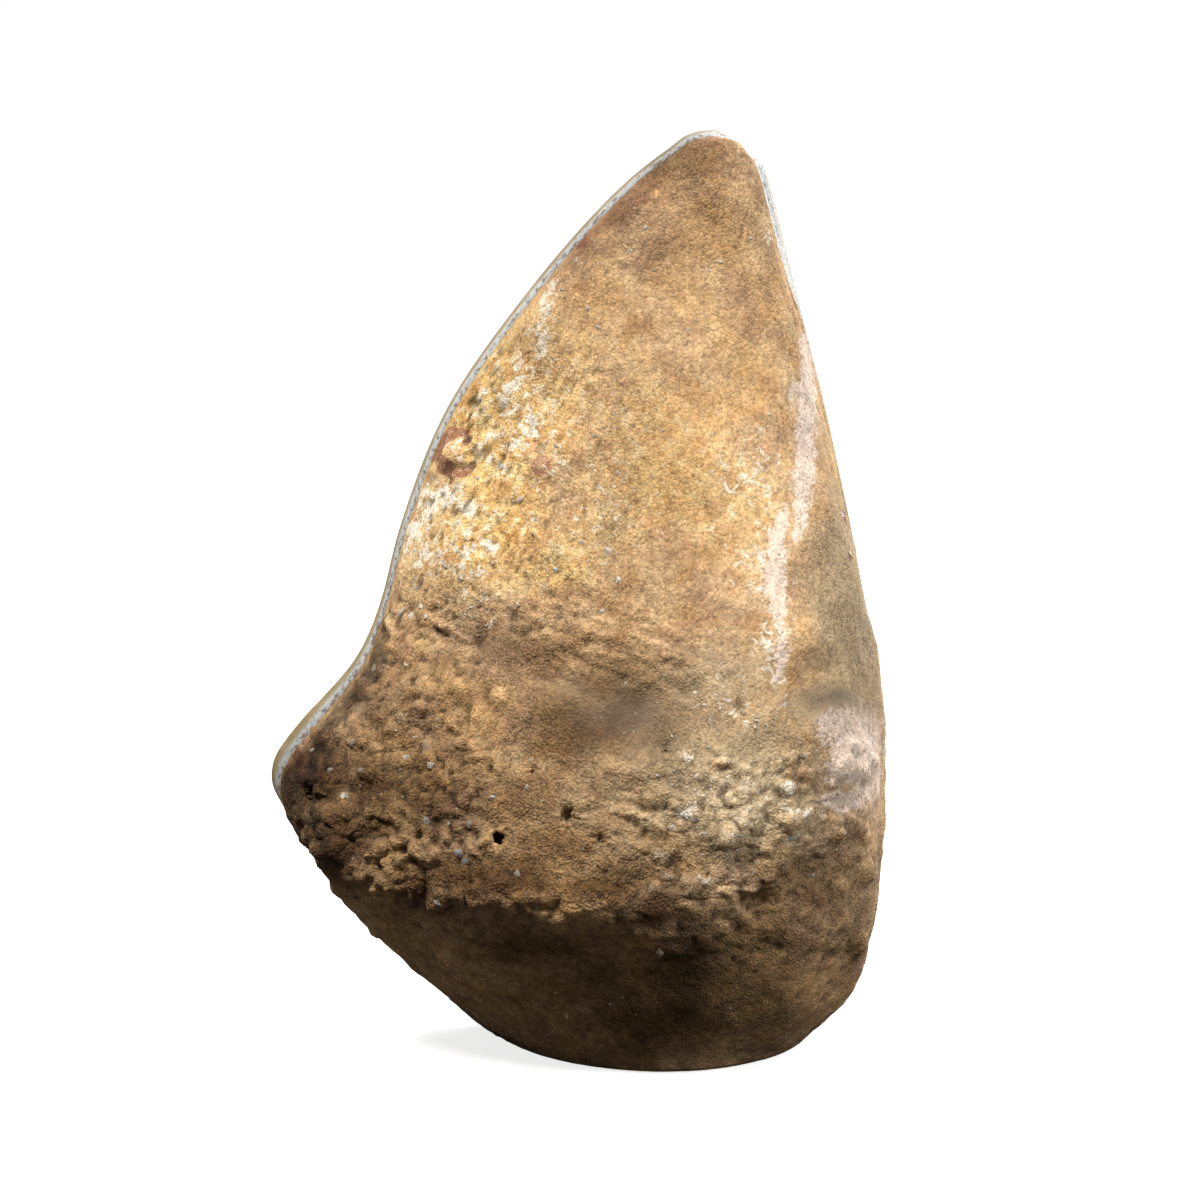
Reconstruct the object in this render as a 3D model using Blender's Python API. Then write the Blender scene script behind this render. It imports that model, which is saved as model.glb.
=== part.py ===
"""A cathedral geode of citrine: half of a hollow nodule, sawn open and polished, standing on its sawn base.

It is modelled in two pieces: the stone, whose rough rind and polished agate rim are one, and the crust of
citrine points that lines its hollow. +Z is up. The rough back looks to -Y and the hollow opens to +Y. All
lengths below are millimetres, and a final step makes them metres.
"""

import math
import random
from collections import namedtuple

import bmesh
import bpy
from mathutils import Matrix, Vector, noise
from mathutils.bvhtree import BVHTree
from mathutils.geometry import delaunay_2d_cdt, tessellate_polygon

MM = 0.001

# The polished face is the plane y = 0, and the back of the geode is at negative y.
RIM_DEPTH = 9.0  # the polished agate that shows between the rind and the polished face
STONE_WALL = 21.0  # rind and agate together
CRUST_WALL = 3.0  # the quartz that the points stand on
FIT_GAP = 0.3  # kept between the stone and the crust
FAR = 400.0  # further than any point of the geode
WELD = 0.01  # points closer than this are one

# The rough back is lofted through stations from the base to the tip. Each gives the left and right edges of
# the cut (x, z), the deepest point between them (x, y, z), how full the section is on each side of that point
# (2 is an ellipse, more is boxier), how far the polished rim stands out past the rind on each side, and how
# many rows of faces lead to the next station.
Station = namedtuple("Station", "left spine right fullness flare rows")
STATIONS = (
    Station((-52, 0), (6, -76, 0), (60, 0), (1.8, 2.0), (-2, -2), 3),
    Station((-75, 17), (5, -85, 20), (76, 17), (2.1, 2.3), (-2, -2), 3),
    Station((-103, 48), (2, -95, 44), (82, 44), (2.2, 2.4), (-2, -2), 3),
    Station((-120, 68), (0, -101, 55), (85, 72), (2.1, 2.5), (-1, -2), 3),
    Station((-125, 79), (0, -104, 63), (85, 84), (2.1, 2.5), (2, -2), 4),
    Station((-126, 91), (5, -101, 76), (85, 102), (2.0, 2.5), (5, -2), 4),
    Station((-115, 107), (15, -97, 96), (85, 118), (1.9, 2.5), (5, -1), 4),
    Station((-98, 128), (26, -91, 122), (83, 134), (1.9, 2.6), (4, 0), 4),
    Station((-89, 150), (36, -83, 148), (78, 152), (1.9, 2.8), (3, 1), 4),
    Station((-81, 180), (44, -69, 180), (72, 180), (1.9, 2.8), (3, 1.5), 4),
    Station((-64, 221), (40, -51, 222), (62, 222), (2.0, 2.4), (3, 2), 4),
    Station((-33, 264), (30, -35, 266), (50, 266), (2.2, 2.3), (3, 2.5), 3),
    Station((-9, 291), (25, -24, 293), (43, 293), (2.3, 2.3), (3, 3), 2),
    Station((4, 303), (25, -19, 304), (40, 304), (2.3, 2.3), (2.5, 3), 2),
    Station((13, 309.5), (25, -15, 310), (36, 309.5), (2.2, 2.2), (2.5, 2.8), 1),
)
TIP = (25, -RIM_DEPTH, 314.5)  # the highest point of the rind, at the cut
TIP_ROWS = 2
LEFT_COLUMNS = 27
RIGHT_COLUMNS = 17

# Relief of the rind: long soft swells, and lumps and hollows (x, z, radius, height) on the back.
SWELL_LENGTH = 34.0
SWELL_HEIGHT = 2.6
SWELL_DETAIL = (0.9, 2.0, 3)  # how fast finer swells weaken, how much finer each is, and how many there are
EDGE_FADE = 14.0  # the relief dies away over this distance from the cut and from the base
LUMPS = (
    # The knobs on the left flange and above the left half of the ledge.
    (-119, 97, 9, 2.6), (-106, 84, 9, 2.4), (-100, 108, 10, 1.8), (-101, 85, 9, 2.2), (-87, 90, 10, 3.2),
    (-77, 76, 9, 3.0), (-106, 73, 9, 2.2), (-81, 119, 11, 1.8), (-92, 100, 8, 1.6), (-66, 100, 11, 1.4),
    # The crumbling lip of the ledge.
    (-84, 68, 9, 2.2), (-65, 66, 8, 3.2), (-48, 65, 11, 3.0), (-34, 62, 9, 2.4), (-16, 64, 10, 2.2),
    (0, 64, 9, 1.6), (17, 67, 9, 2.8), (27, 62, 7, -1.8), (44, 75, 10, 3.2), (37, 63, 8, -3.0),
    (58, 72, 9, -3.0), (63, 85, 9, 2.4), (74, 88, 9, 2.0), (-74, 60, 9, -1.6), (8, 56, 8, -1.8),
    # The shelf above it.
    (29, 85, 9, 3.0), (49, 89, 11, 2.4), (16, 96, 10, 2.0), (39, 99, 10, 1.8), (26, 109, 11, 1.6),
    (-49, 86, 8, 1.2), (-12, 92, 12, -1.6), (70, 106, 14, 2.2), (54, 112, 12, 1.6),
    # The wrinkles of the hollow band above the shelf.
    (-28, 146, 12, 2.4), (-8, 139, 10, -2.6), (6, 146, 10, 2.6), (14, 134, 10, -2.4), (26, 138, 10, 2.2),
    (-46, 134, 13, 1.6), (-2, 120, 15, -2.4), (-64, 140, 12, 1.4), (58, 140, 12, -1.6),
    # The gentle lumps of the upper back.
    (-64, 207, 8, 2.8), (-35, 204, 6, 1.4), (-57, 224, 6, -1.6), (-54, 218, 5, 1.6), (-26, 173, 18, 1.6),
    (3, 200, 20, -1.4), (20, 250, 22, 1.2), (46, 186, 14, 1.8), (52, 150, 15, 2.0), (-4, 236, 16, 1.2),
    # The underside.
    (-58, 40, 16, 1.8), (-20, 36, 22, -2.4), (20, 30, 16, 1.6), (53, 50, 12, 1.8), (66, 34, 12, -1.4),
)
# The small round holes: x, z and radius. Each is cut by a ball of that radius, stretched and partly sunk.
PITS = ((-49, 83, 2.4), (-25, 91, 2.6), (-114, 91, 2.8), (-14, 84, 1.6), (-37, 105, 1.6), (7, 113, 1.8))
PIT_STRETCH = (1, 1.5, 0.8)
PIT_PROUD = 0.3  # of the radius, how far the ball's middle stays outside the rind

# The polished rim, from the rind round to the polished face: share of the flare, inset and y.
RIM_PROFILE = (
    (0.0, 0.0, -RIM_DEPTH),
    (0.35, 0.0, -7.2),
    (0.6, 0.0, -5.8),
    (0.85, 0.0, -4.4),
    (1.0, 0.0, -2.8),
    (1.0, 0.9, -0.9),
    (1.0, 3.0, 0.0),
)

# The hollow's mouth in the polished face, anticlockwise from its lowest point, and the point it is drawn
# round.
MOUTH = (
    (6, 31), (36, 36), (58, 58), (66, 88), (65, 118), (58, 152), (51, 192), (43, 230), (34, 262),
    (22, 285), (4, 274), (-20, 246), (-44, 212), (-60, 176), (-72, 144), (-86, 120), (-98, 98),
    (-90, 76), (-66, 54), (-30, 37),
)
MOUTH_CORE = (-2, 138)
MOUTH_SIDES = 40
BOWL_RINGS = 7
BOWL_FULLNESS = 3.0
SLOPE_REACH = 0.5  # the bowl's slope is taken between places this far on each side

# The citrine points.
POINT_SPACING = 9.0
POINT_HEIGHT = (5.0, 10.0)
POINT_SPREAD = 0.2  # of the spacing, how unevenly they stand
POINT_LEAN = 1.5
POINT_MARGIN = 0.6  # of the lattice's step, kept clear along the edge of the mouth
TIP_MARGIN = 0.5  # the tips stay this far behind the polished face
SEED = 12


def hermite(before, start, end, after, share):
    """A smooth curve from start to end, whose slope at each is that of the line between its neighbours."""
    s, s2, s3 = share, share**2, share**3
    return tuple(
        (2 * s3 - 3 * s2 + 1) * q + (s3 - 2 * s2 + s) * (r - p) / 2
        + (3 * s2 - 2 * s3) * r + (s3 - s2) * (t - q) / 2
        for p, q, r, t in zip(before, start, end, after)
    )


def station_at(position):
    """The station at a fractional position in STATIONS."""
    last = len(STATIONS) - 1
    index = min(int(position), last - 1)
    near = [STATIONS[min(max(index + step, 0), last)] for step in (-1, 0, 1, 2)]
    places = zip(*(station[:-1] for station in near))
    return Station(*(hermite(*values, position - index) for values in places), near[1].rows)


def side_point(rim, rim_y, spine, fullness, angle):
    """A point of a section, from the cut at angle 0 to the spine at a quarter turn."""
    across = math.cos(angle) ** (2 / fullness)
    back = math.sin(angle) ** (2 / fullness)
    x = spine[0] + (rim[0] - spine[0]) * across
    y = rim_y + (spine[1] - rim_y) * back
    z = spine[2] + (rim[1] - spine[2]) * math.cos(angle) ** 2
    return Vector((x, y, z))


def section(station):
    """The points of one section, from the left edge of the cut round the back to the right edge."""
    quarter = math.pi / 2
    left = [
        side_point(station.left, -RIM_DEPTH, station.spine, station.fullness[0], quarter * i / LEFT_COLUMNS)
        for i in range(LEFT_COLUMNS)
    ]
    right = [
        side_point(station.right, -RIM_DEPTH, station.spine, station.fullness[1], quarter * i / RIGHT_COLUMNS)
        for i in range(RIGHT_COLUMNS, -1, -1)
    ]
    return left + right


def dome_rows():
    """The rough back as rows of points from the base to the tip, and the rim's flare on each row."""
    stations = [
        station_at(index + step / STATIONS[index].rows)
        for index in range(len(STATIONS) - 1)
        for step in range(STATIONS[index].rows)
    ]
    stations.append(station_at(len(STATIONS) - 1))
    rows = [section(station) for station in stations]
    flares = [station.flare for station in stations]
    top = rows[-1]
    tip = Vector(TIP)
    for i in range(1, TIP_ROWS):
        turn = math.pi / 2 * i / TIP_ROWS
        row = []
        for point in top:
            out = tip.lerp(point, math.cos(turn))
            out.z = point.z + (tip.z - point.z) * math.sin(turn)
            row.append(out)
        rows.append(row)
        flares.append(flares[-1])
    return rows, flares


def relief(point):
    """How far the rind stands out from its smooth form."""
    place = Vector(point) / SWELL_LENGTH
    height = SWELL_HEIGHT * noise.fractal(place, *SWELL_DETAIL, noise_basis="PERLIN_ORIGINAL")
    for x, z, radius, lump in LUMPS:
        distance = math.hypot(point[0] - x, point[2] - z) / radius
        if distance < 1:
            height += lump * (1 - distance**2) ** 2
    to_cut = -RIM_DEPTH - point[1]
    fade = min(1, max(0, to_cut / EDGE_FADE)) * min(1, max(0, point[2] / EDGE_FADE))
    return height * fade


class Shell:
    """A closed surface put together from patches whose shared borders are welded at the end."""

    def __init__(self):
        self.mesh = bmesh.new()

    def grid(self, rows, closed=False):
        """Quads between rows of equal length. closed joins each row's end to its start."""
        made = [[self.mesh.verts.new(p) for p in row] for row in rows]
        for low, high in zip(made, made[1:]):
            span = len(low) if closed else len(low) - 1
            for i in range(span):
                j = (i + 1) % len(low)
                self.mesh.faces.new((low[i], low[j], high[j], high[i]))

    def fan(self, ring, centre, closed=True):
        """Triangles from a ring to one point."""
        hub = self.mesh.verts.new(centre)
        made = [self.mesh.verts.new(p) for p in ring]
        span = len(made) if closed else len(made) - 1
        for i in range(span):
            self.mesh.faces.new((made[i], made[(i + 1) % len(made)], hub))

    def plate(self, *loops):
        """A flat face with the first loop as its border and any others as holes."""
        points = [Vector(p) for loop in loops for p in loop]
        made = [self.mesh.verts.new(p) for p in points]
        for triangle in tessellate_polygon([[Vector(p) for p in loop] for loop in loops]):
            self.mesh.faces.new([made[i] for i in triangle])

    def triangles(self, points, faces):
        made = [self.mesh.verts.new(p) for p in points]
        for face in faces:
            self.mesh.faces.new([made[i] for i in face])

    def finish(self, name, material):
        """The welded solid as an object with its faces pointing out."""
        bmesh.ops.remove_doubles(self.mesh, verts=self.mesh.verts, dist=WELD)
        bmesh.ops.dissolve_degenerate(self.mesh, edges=self.mesh.edges, dist=WELD)
        bmesh.ops.recalc_face_normals(self.mesh, faces=self.mesh.faces)
        data = bpy.data.meshes.new(name)
        self.mesh.to_mesh(data)
        self.mesh.free()
        data.materials.append(material)
        made = bpy.data.objects.new(name, data)
        bpy.context.scene.collection.objects.link(made)
        return made


def cut_outline(rows, flares, flare_share, inset, y):
    """The outline of the cut face, from the lower right corner over the tip to the lower left, moved out."""
    right = [(row[-1], flare[1]) for row, flare in zip(rows, flares)]
    left = [(row[0], flare[0]) for row, flare in zip(rows, flares)]
    path = right + [(Vector(TIP), flares[-1][0])] + left[::-1]
    outline = []
    for i, (point, flare) in enumerate(path):
        before, after = path[max(i - 1, 0)][0], path[min(i + 1, len(path) - 1)][0]
        along = after - before
        outwards = Vector((along.z, 0, -along.x)).normalized()
        moved = point + outwards * (flare * flare_share - inset)
        if i in (0, len(path) - 1):
            moved.z = 0
        outline.append(Vector((moved.x, y, moved.z)))
    return outline


def mouth_ring(widen):
    """The hollow's mouth as a smooth ring of MOUTH_SIDES points, made wider by a distance."""
    core = Vector(MOUTH_CORE)
    count = len(MOUTH)
    ring = []
    for i in range(MOUTH_SIDES):
        place = i * count / MOUTH_SIDES
        index = int(place)
        near = [MOUTH[(index + step) % count] for step in (-1, 0, 1, 2)]
        point = Vector(hermite(*near, place - index))
        point += (point - core).normalized() * widen
        ring.append(Vector((point.x, 0, point.y)))
    return ring


class Hollow:
    """A bowl behind the mouth. How deep it is depends on the rind's smooth form behind it."""

    def __init__(self, dome, widen, wall):
        self.dome, self.wall = dome, wall
        self.ring = mouth_ring(widen)
        self.core = Vector((MOUTH_CORE[0], 0, MOUTH_CORE[1]))

    def depth(self, x, z):
        """The depth that leaves the wall between the bowl and the back of the rind."""
        hit = self.dome.ray_cast(Vector((x, FAR, z)), Vector((0, -1, 0)))[0]
        back = hit.y if hit else -RIM_DEPTH
        return max(0, -back - self.wall)

    def point(self, rim, share):
        """A point of the bowl between its deepest part, at share 0, and a point of the rim, at share 1."""
        out = math.sin(share * math.pi / 2)
        back = math.cos(share * math.pi / 2)
        size = (out**BOWL_FULLNESS + back**BOWL_FULLNESS) ** (1 / BOWL_FULLNESS)
        place = self.core.lerp(rim, out / size)
        place.y = -self.depth(place.x, place.z) * back / size
        return place

    def rings(self):
        shares = [j / BOWL_RINGS for j in range(BOWL_RINGS, 0, -1)]
        return [[self.point(rim, share) for rim in self.ring] for share in shares]

    def at(self, x, z):
        """The point of the bowl for a place (x, z) in the mouth, as if the bowl were pressed flat into it."""
        place = Vector((x, 0, z)) - self.core
        spokes = [rim - self.core for rim in self.ring]
        turns = [place.cross(spoke).y for spoke in spokes]
        for i in range(MOUTH_SIDES):
            before, after = turns[i - 1], turns[i]
            if before * after <= 0 and (spokes[i - 1] + spokes[i]).dot(place) > 0:
                rim = self.ring[i - 1].lerp(self.ring[i], before / (before - after))
                return self.point(rim, place.length / (rim - self.core).length)
        return self.point(self.ring[0], 0)

    def inwards(self, x, z):
        """The direction square to the bowl there, into the hollow."""
        aside = self.at(x + SLOPE_REACH, z) - self.at(x - SLOPE_REACH, z)
        above = self.at(x, z + SLOPE_REACH) - self.at(x, z - SLOPE_REACH)
        return above.cross(aside).normalized()

    def add_to(self, shell):
        rings = self.rings()
        shell.grid(rings, closed=True)
        shell.fan(rings[-1], self.point(self.ring[0], 0))


def mineral(name, colour, roughness, transmission=0.0):
    made = bpy.data.materials.new(name)
    made.use_nodes = True
    shader = made.node_tree.nodes["Principled BSDF"]
    shader.inputs["Base Color"].default_value = (*colour, 1)
    shader.inputs["Roughness"].default_value = roughness
    shader.inputs["Transmission Weight"].default_value = transmission
    shader.inputs["IOR"].default_value = 1.544 if transmission else 1.5
    return made


def smooth_dome(rows):
    """The back without relief, to measure wall thicknesses from."""
    columns = len(rows[0])
    points = [p for row in rows for p in row] + [Vector(TIP)]
    faces = []
    for i in range(len(rows) - 1):
        for j in range(columns - 1):
            a = i * columns + j
            faces.append((a, a + 1, a + columns + 1, a + columns))
    start = (len(rows) - 1) * columns
    faces += [(start + j, start + j + 1, len(points) - 1) for j in range(columns - 1)]
    return BVHTree.FromPolygons(points, faces)


def raised(rows):
    """The rows with the relief added along the surface's own normals. The cut and the base stay in place."""
    moved = []
    for i, row in enumerate(rows):
        line = []
        for j, point in enumerate(row):
            height = relief(point)
            if height == 0:
                line.append(point)
                continue
            along = row[min(j + 1, len(row) - 1)] - row[max(j - 1, 0)]
            up = rows[min(i + 1, len(rows) - 1)][j] - rows[max(i - 1, 0)][j]
            line.append(point + along.cross(up).normalized() * height)
        moved.append(line)
    return moved


def make_stone(rows, flares, dome, material):
    """The rough back, the flat base, the polished rim and face, and the bowl that the crust lines."""
    shell = Shell()
    outside = raised(rows)
    shell.grid(outside)
    shell.fan(outside[-1], Vector(TIP), closed=False)
    outlines = [cut_outline(rows, flares, *profile) for profile in RIM_PROFILE]
    shell.grid(outlines)
    right_foot = [outline[0] for outline in outlines[1:]]
    left_foot = [outline[-1] for outline in outlines[1:]]
    shell.plate(outside[0] + right_foot + left_foot[::-1])
    bowl = Hollow(dome, 0, STONE_WALL)
    shell.plate(outlines[-1], bowl.ring)
    bowl.add_to(shell)
    return shell.finish("geode_stone", material)


def cut_pits(stone, dome):
    """Small round holes in the back, where bubbles in the rock have weathered out."""
    for i, (x, z, radius) in enumerate(PITS):
        hit = dome.ray_cast(Vector((x, -FAR, z)), Vector((0, 1, 0)))[0]
        bubble = bmesh.new()
        bmesh.ops.create_icosphere(bubble, subdivisions=1, radius=radius)
        bmesh.ops.scale(bubble, vec=PIT_STRETCH, verts=bubble.verts)
        bmesh.ops.translate(bubble, vec=hit - Vector((0, radius * PIT_PROUD, 0)), verts=bubble.verts)
        data = bpy.data.meshes.new(f"pit_cutter_{i}")
        bubble.to_mesh(data)
        bubble.free()
        cutter = bpy.data.objects.new(data.name, data)
        bpy.context.scene.collection.objects.link(cutter)
        cutter.hide_render = True
        cutter.display_type = "WIRE"
        cut = stone.modifiers.new(data.name, "BOOLEAN")
        cut.operation = "DIFFERENCE"
        cut.object = cutter


def inside(x, z, ring, margin):
    """Whether a place is in the mouth and at least a margin from its edge."""
    crossings = 0
    for a, b in zip(ring, ring[1:] + ring[:1]):
        along = Vector((b.x - a.x, b.z - a.z))
        place = Vector((x - a.x, z - a.z))
        share = min(1, max(0, place.dot(along) / along.length_squared))
        if (place - along * share).length < margin:
            return False
        if (a.z > z) != (b.z > z) and x < a.x + (z - a.z) * along.x / along.y:
            crossings += 1
    return crossings % 2 == 1


def lattice(rng, ring):
    """Places (x, z) in the mouth for the points' tips, and for the valleys between them."""
    step = POINT_SPACING / math.sqrt(3)
    reach = int(FAR / step / 2)
    tips, valleys = [], []
    for row in range(-reach, reach + 1):
        for column in range(-reach * 2, reach * 2 + 1):
            x = MOUTH_CORE[0] + (column + row / 2) * step + rng.uniform(-1, 1) * step * POINT_SPREAD
            z = MOUTH_CORE[1] + row * step * math.sqrt(3) / 2
            z += rng.uniform(-1, 1) * step * POINT_SPREAD
            if inside(x, z, ring, step * POINT_MARGIN):
                (tips if (column - row) % 3 == 0 else valleys).append((x, z))
    return tips, valleys


def crystal_tip(front, place, rng):
    """The tip of one citrine point. It stands square to the bowl, leans a little and stays behind the cut."""
    foot = front.at(*place)
    rise = front.inwards(*place) * rng.uniform(*POINT_HEIGHT)
    rise += Vector([rng.uniform(-1, 1) for _ in range(3)]) * POINT_LEAN
    room = -foot.y - TIP_MARGIN
    if rise.y > room:
        rise *= max(room, 0) / rise.y
    return foot + rise


def make_crust(dome, material):
    """The citrine: six-sided points that cover the whole hollow, on a thin layer of their own quartz."""
    rng = random.Random(SEED)
    shell = Shell()
    behind = Hollow(dome, -FIT_GAP, STONE_WALL + FIT_GAP)
    front = Hollow(dome, -FIT_GAP - CRUST_WALL, STONE_WALL + FIT_GAP + CRUST_WALL)
    behind.add_to(shell)
    shell.grid([behind.ring, front.ring], closed=True)
    tips, valleys = lattice(rng, front.ring)
    flat = [Vector((p.x, p.z)) for p in front.ring] + [Vector(p) for p in tips + valleys]
    border = [(i, (i + 1) % MOUTH_SIDES) for i in range(MOUTH_SIDES)]
    _, _, faces = delaunay_2d_cdt(flat, border, [], 1, 1e-6)[:3]
    points = list(front.ring)
    points += [crystal_tip(front, place, rng) for place in tips]
    points += [front.at(*place) for place in valleys]
    shell.triangles(points, faces)
    return shell.finish("citrine_crystals", material)


def stand_on_origin(objects):
    """Moves all to the middle of their box, standing on z = 0, and turns the millimetres into metres."""
    corners = [v.co for o in objects for v in o.data.vertices]
    across, through = ([c[i] for c in corners] for i in range(2))
    middle = Vector(((min(across) + max(across)) / 2, (min(through) + max(through)) / 2, 0))
    to_metres = Matrix.Scale(MM, 4) @ Matrix.Translation(-middle)
    for made in bpy.data.objects:
        made.data.transform(to_metres)


def main():
    for old in list(bpy.data.objects):
        bpy.data.objects.remove(old)
    rows, flares = dome_rows()
    dome = smooth_dome(rows)
    stone = make_stone(rows, flares, dome, mineral("weathered rind", (0.36, 0.25, 0.13), 0.9))
    crust = make_crust(dome, mineral("citrine", (0.80, 0.38, 0.06), 0.08, 0.8))
    cut_pits(stone, dome)
    stand_on_origin([stone, crust])


main()
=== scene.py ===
"""A cut and polished cathedral geode of citrine, standing on its sawn base and seen from behind.

The weathered stone with its polished rim is one piece, and the quartz grains in its rind are another.
The hollow has a milky crust and see-through points. Lengths are in metres, and the flat polished face
looks along +Y.
"""

import math
import random

import bpy
import numpy as np
from mathutils import Matrix, Quaternion, Vector, noise
from mathutils.kdtree import KDTree


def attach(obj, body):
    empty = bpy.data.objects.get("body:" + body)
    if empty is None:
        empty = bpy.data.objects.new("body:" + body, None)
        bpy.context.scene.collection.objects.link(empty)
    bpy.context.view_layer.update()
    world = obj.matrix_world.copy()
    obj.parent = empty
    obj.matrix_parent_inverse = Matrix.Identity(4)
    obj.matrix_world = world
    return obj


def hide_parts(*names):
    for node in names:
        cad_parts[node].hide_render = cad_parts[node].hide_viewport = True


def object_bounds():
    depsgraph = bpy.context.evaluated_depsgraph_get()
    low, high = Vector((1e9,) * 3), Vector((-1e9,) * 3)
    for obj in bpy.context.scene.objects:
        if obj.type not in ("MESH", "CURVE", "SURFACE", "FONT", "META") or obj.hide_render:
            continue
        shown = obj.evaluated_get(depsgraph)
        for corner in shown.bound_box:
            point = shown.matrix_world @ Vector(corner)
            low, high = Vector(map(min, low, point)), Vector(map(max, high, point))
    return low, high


MM = 0.001
SEED = 7

# The viewer's eye, and the square sheet on which places on the stone are given as seen from it.
LENS = 127.0
SENSOR = 36.0
TILT = math.radians(8)
DISTANCE = 1.4
LOOK_AT = np.array([0.0081, -0.040, 0.160])
RAISED = 0.0044
SHEET = 1200
SHEET_AWAY = SHEET * LENS / SENSOR
ASIDE = np.array([1.0, 0.0, 0.0])
AHEAD = np.array([0.0, math.cos(TILT), -math.sin(TILT)])
UPWARD = np.array([0.0, math.sin(TILT), math.cos(TILT)])
EYE = LOOK_AT - DISTANCE * AHEAD + RAISED * UPWARD

# The cut: the flat face, and the edge where the weathered rind gives way to polish.
FACE_Y = 0.05319
RIND_EDGE_Y = 0.0442

# A vertex that lies lower than this is on the sawn base.
BASE_Z = 0.01 * MM


def alone(piece):
    """Only this piece is selected and active."""
    bpy.ops.object.select_all(action="DESELECT")
    piece.select_set(True)
    bpy.context.view_layer.objects.active = piece


def editing(piece, mode="FACE"):
    """The piece goes into edit mode with nothing selected."""
    alone(piece)
    bpy.ops.object.mode_set(mode="EDIT")
    bpy.ops.mesh.select_mode(type=mode)
    bpy.ops.mesh.select_all(action="DESELECT")


def done():
    bpy.ops.object.mode_set(mode="OBJECT")


def modifier(piece, kind, **settings):
    """A modifier is added, set and applied."""
    alone(piece)
    added = piece.modifiers.new(kind.lower(), kind)
    for key, value in settings.items():
        setattr(added, key, value)
    bpy.ops.object.modifier_apply(modifier=added.name)


def copy_of(node, name):
    """A merged copy of a solid's mesh, as a piece of its own."""
    piece = bpy.data.objects.new(name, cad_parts[node].data.copy())
    bpy.context.scene.collection.objects.link(piece)
    piece.data.materials.clear()
    editing(piece, "VERT")
    bpy.ops.mesh.select_all(action="SELECT")
    bpy.ops.mesh.customdata_custom_splitnormals_clear()
    bpy.ops.mesh.remove_doubles(threshold=0.001 * MM)
    bpy.ops.mesh.tris_convert_to_quads(face_threshold=0.7, shape_threshold=0.9)
    done()
    return piece


def read(items, key, width=3, kind=np.float32):
    """A row of numbers for each of the mesh's vertices, edges or faces."""
    found = np.empty(len(items) * width, kind)
    items.foreach_get(key, found)
    return found.reshape(-1, width)


def places(piece):
    """Every vertex of the piece, as rows of x, y and z."""
    return read(piece.data.vertices, "co").astype(float)


def put(piece, points):
    """Every vertex of the piece goes to its row's place."""
    piece.data.vertices.foreach_set("co", points.astype(np.float32).ravel())
    piece.data.update()


def normals(piece):
    """The outward direction at every vertex of the piece."""
    return read(piece.data.vertex_normals, "vector").astype(float)


def note(piece, name, values):
    """A number at every vertex, which a material can read."""
    layer = piece.data.attributes.new(name, "FLOAT", "POINT")
    layer.data.foreach_set("value", values.astype(np.float32))


def ramp(values, low, high):
    """0 below low, 1 above high and a smooth rise between them."""
    share = np.clip((values - low) / (high - low), 0, 1)
    return share * share * (3 - 2 * share)


def on_sheet(points):
    """Where points fall on the viewer's sheet: across and down."""
    away = points - EYE
    scale = SHEET_AWAY / (away @ AHEAD)
    return SHEET / 2 + (away @ ASIDE) * scale, SHEET / 2 - (away @ UPWARD) * scale


def spots(sheet, rows):
    """Soft oval spots, each (across, down, half width, half height, strength)."""
    across, down = sheet
    cover = np.zeros(len(across))
    for x, y, wide, tall, strength in rows:
        away = ((across - x) / wide) ** 2 + ((down - y) / tall) ** 2
        cover = np.maximum(cover, strength * np.exp(-away))
    return cover


def stroke(sheet, rows):
    """A soft stroke through rows of (across, down, half width)."""
    across, down = sheet
    cover = np.zeros(len(across))
    for (x0, y0, w0), (x1, y1, w1) in zip(rows, rows[1:]):
        long2 = (x1 - x0) ** 2 + (y1 - y0) ** 2
        share = np.clip(((across - x0) * (x1 - x0) + (down - y0) * (y1 - y0)) / long2, 0, 1)
        away2 = (across - x0 - share * (x1 - x0)) ** 2 + (down - y0 - share * (y1 - y0)) ** 2
        cover = np.maximum(cover, np.exp(-away2 / (w0 + share * (w1 - w0)) ** 2))
    return cover


def wandered(sheet, points, reach, size):
    """The sheet's places shifted by up to this reach, so that soft shapes get irregular outlines."""
    shift = np.array([noise.noise_vector(point) for point in points / size]) * reach
    return sheet[0] + shift[:, 0], sheet[1] + shift[:, 2]


def domes(sheet, rows):
    """Rounded knobs, or hollows where the height is negative: (across, down, radius, height in mm)."""
    across, down = sheet
    raised = np.zeros(len(across))
    sunk = np.zeros(len(across))
    for x, y, radius, height in rows:
        away2 = ((across - x) ** 2 + (down - y) ** 2) / radius**2
        dome = height * MM * np.clip(1 - away2, 0, 1) ** 1.5
        raised = np.maximum(raised, dome)
        sunk = np.minimum(sunk, dome)
    return raised + sunk


# ---------------------------------------------------------------- the stone


def scatter(count, box, radii, heights, seed):
    """Knobs strewn over a box of the sheet, (left, top, right, bottom)."""
    chance = random.Random(seed)
    left, top, right, bottom = box
    rows = []
    for _ in range(count):
        radius = chance.uniform(*radii)
        height = chance.uniform(*heights)
        rows.append((chance.uniform(left, right), chance.uniform(top, bottom), radius, height))
    return rows


# Round holes, knobs and shallow hollows: across, down, radius, and height in mm.
PITS = [
    (497, 838, 8, -2.8), (567, 812, 9, -1.8), (600, 838, 6, -1.3), (533, 768, 6, -1.2),
    (665, 745, 7, -1.0), (740, 705, 8, -1.0), (592, 787, 6, -0.9), (539, 890, 8, -1.2),
    (311, 790, 9, -2.0), (380, 867, 9, -2.2), (404, 850, 8, -2.4), (419, 836, 6, -1.8),
    (414, 862, 7, -1.8), (411, 681, 6, -1.4), (472, 401, 11, -1.2), (428, 478, 9, -1.0),
    (644, 834, 7, -1.2),
]

# A pit this deep, in mm, gets the darkest painted shade.
DEEP_PIT = 2.6

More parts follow.
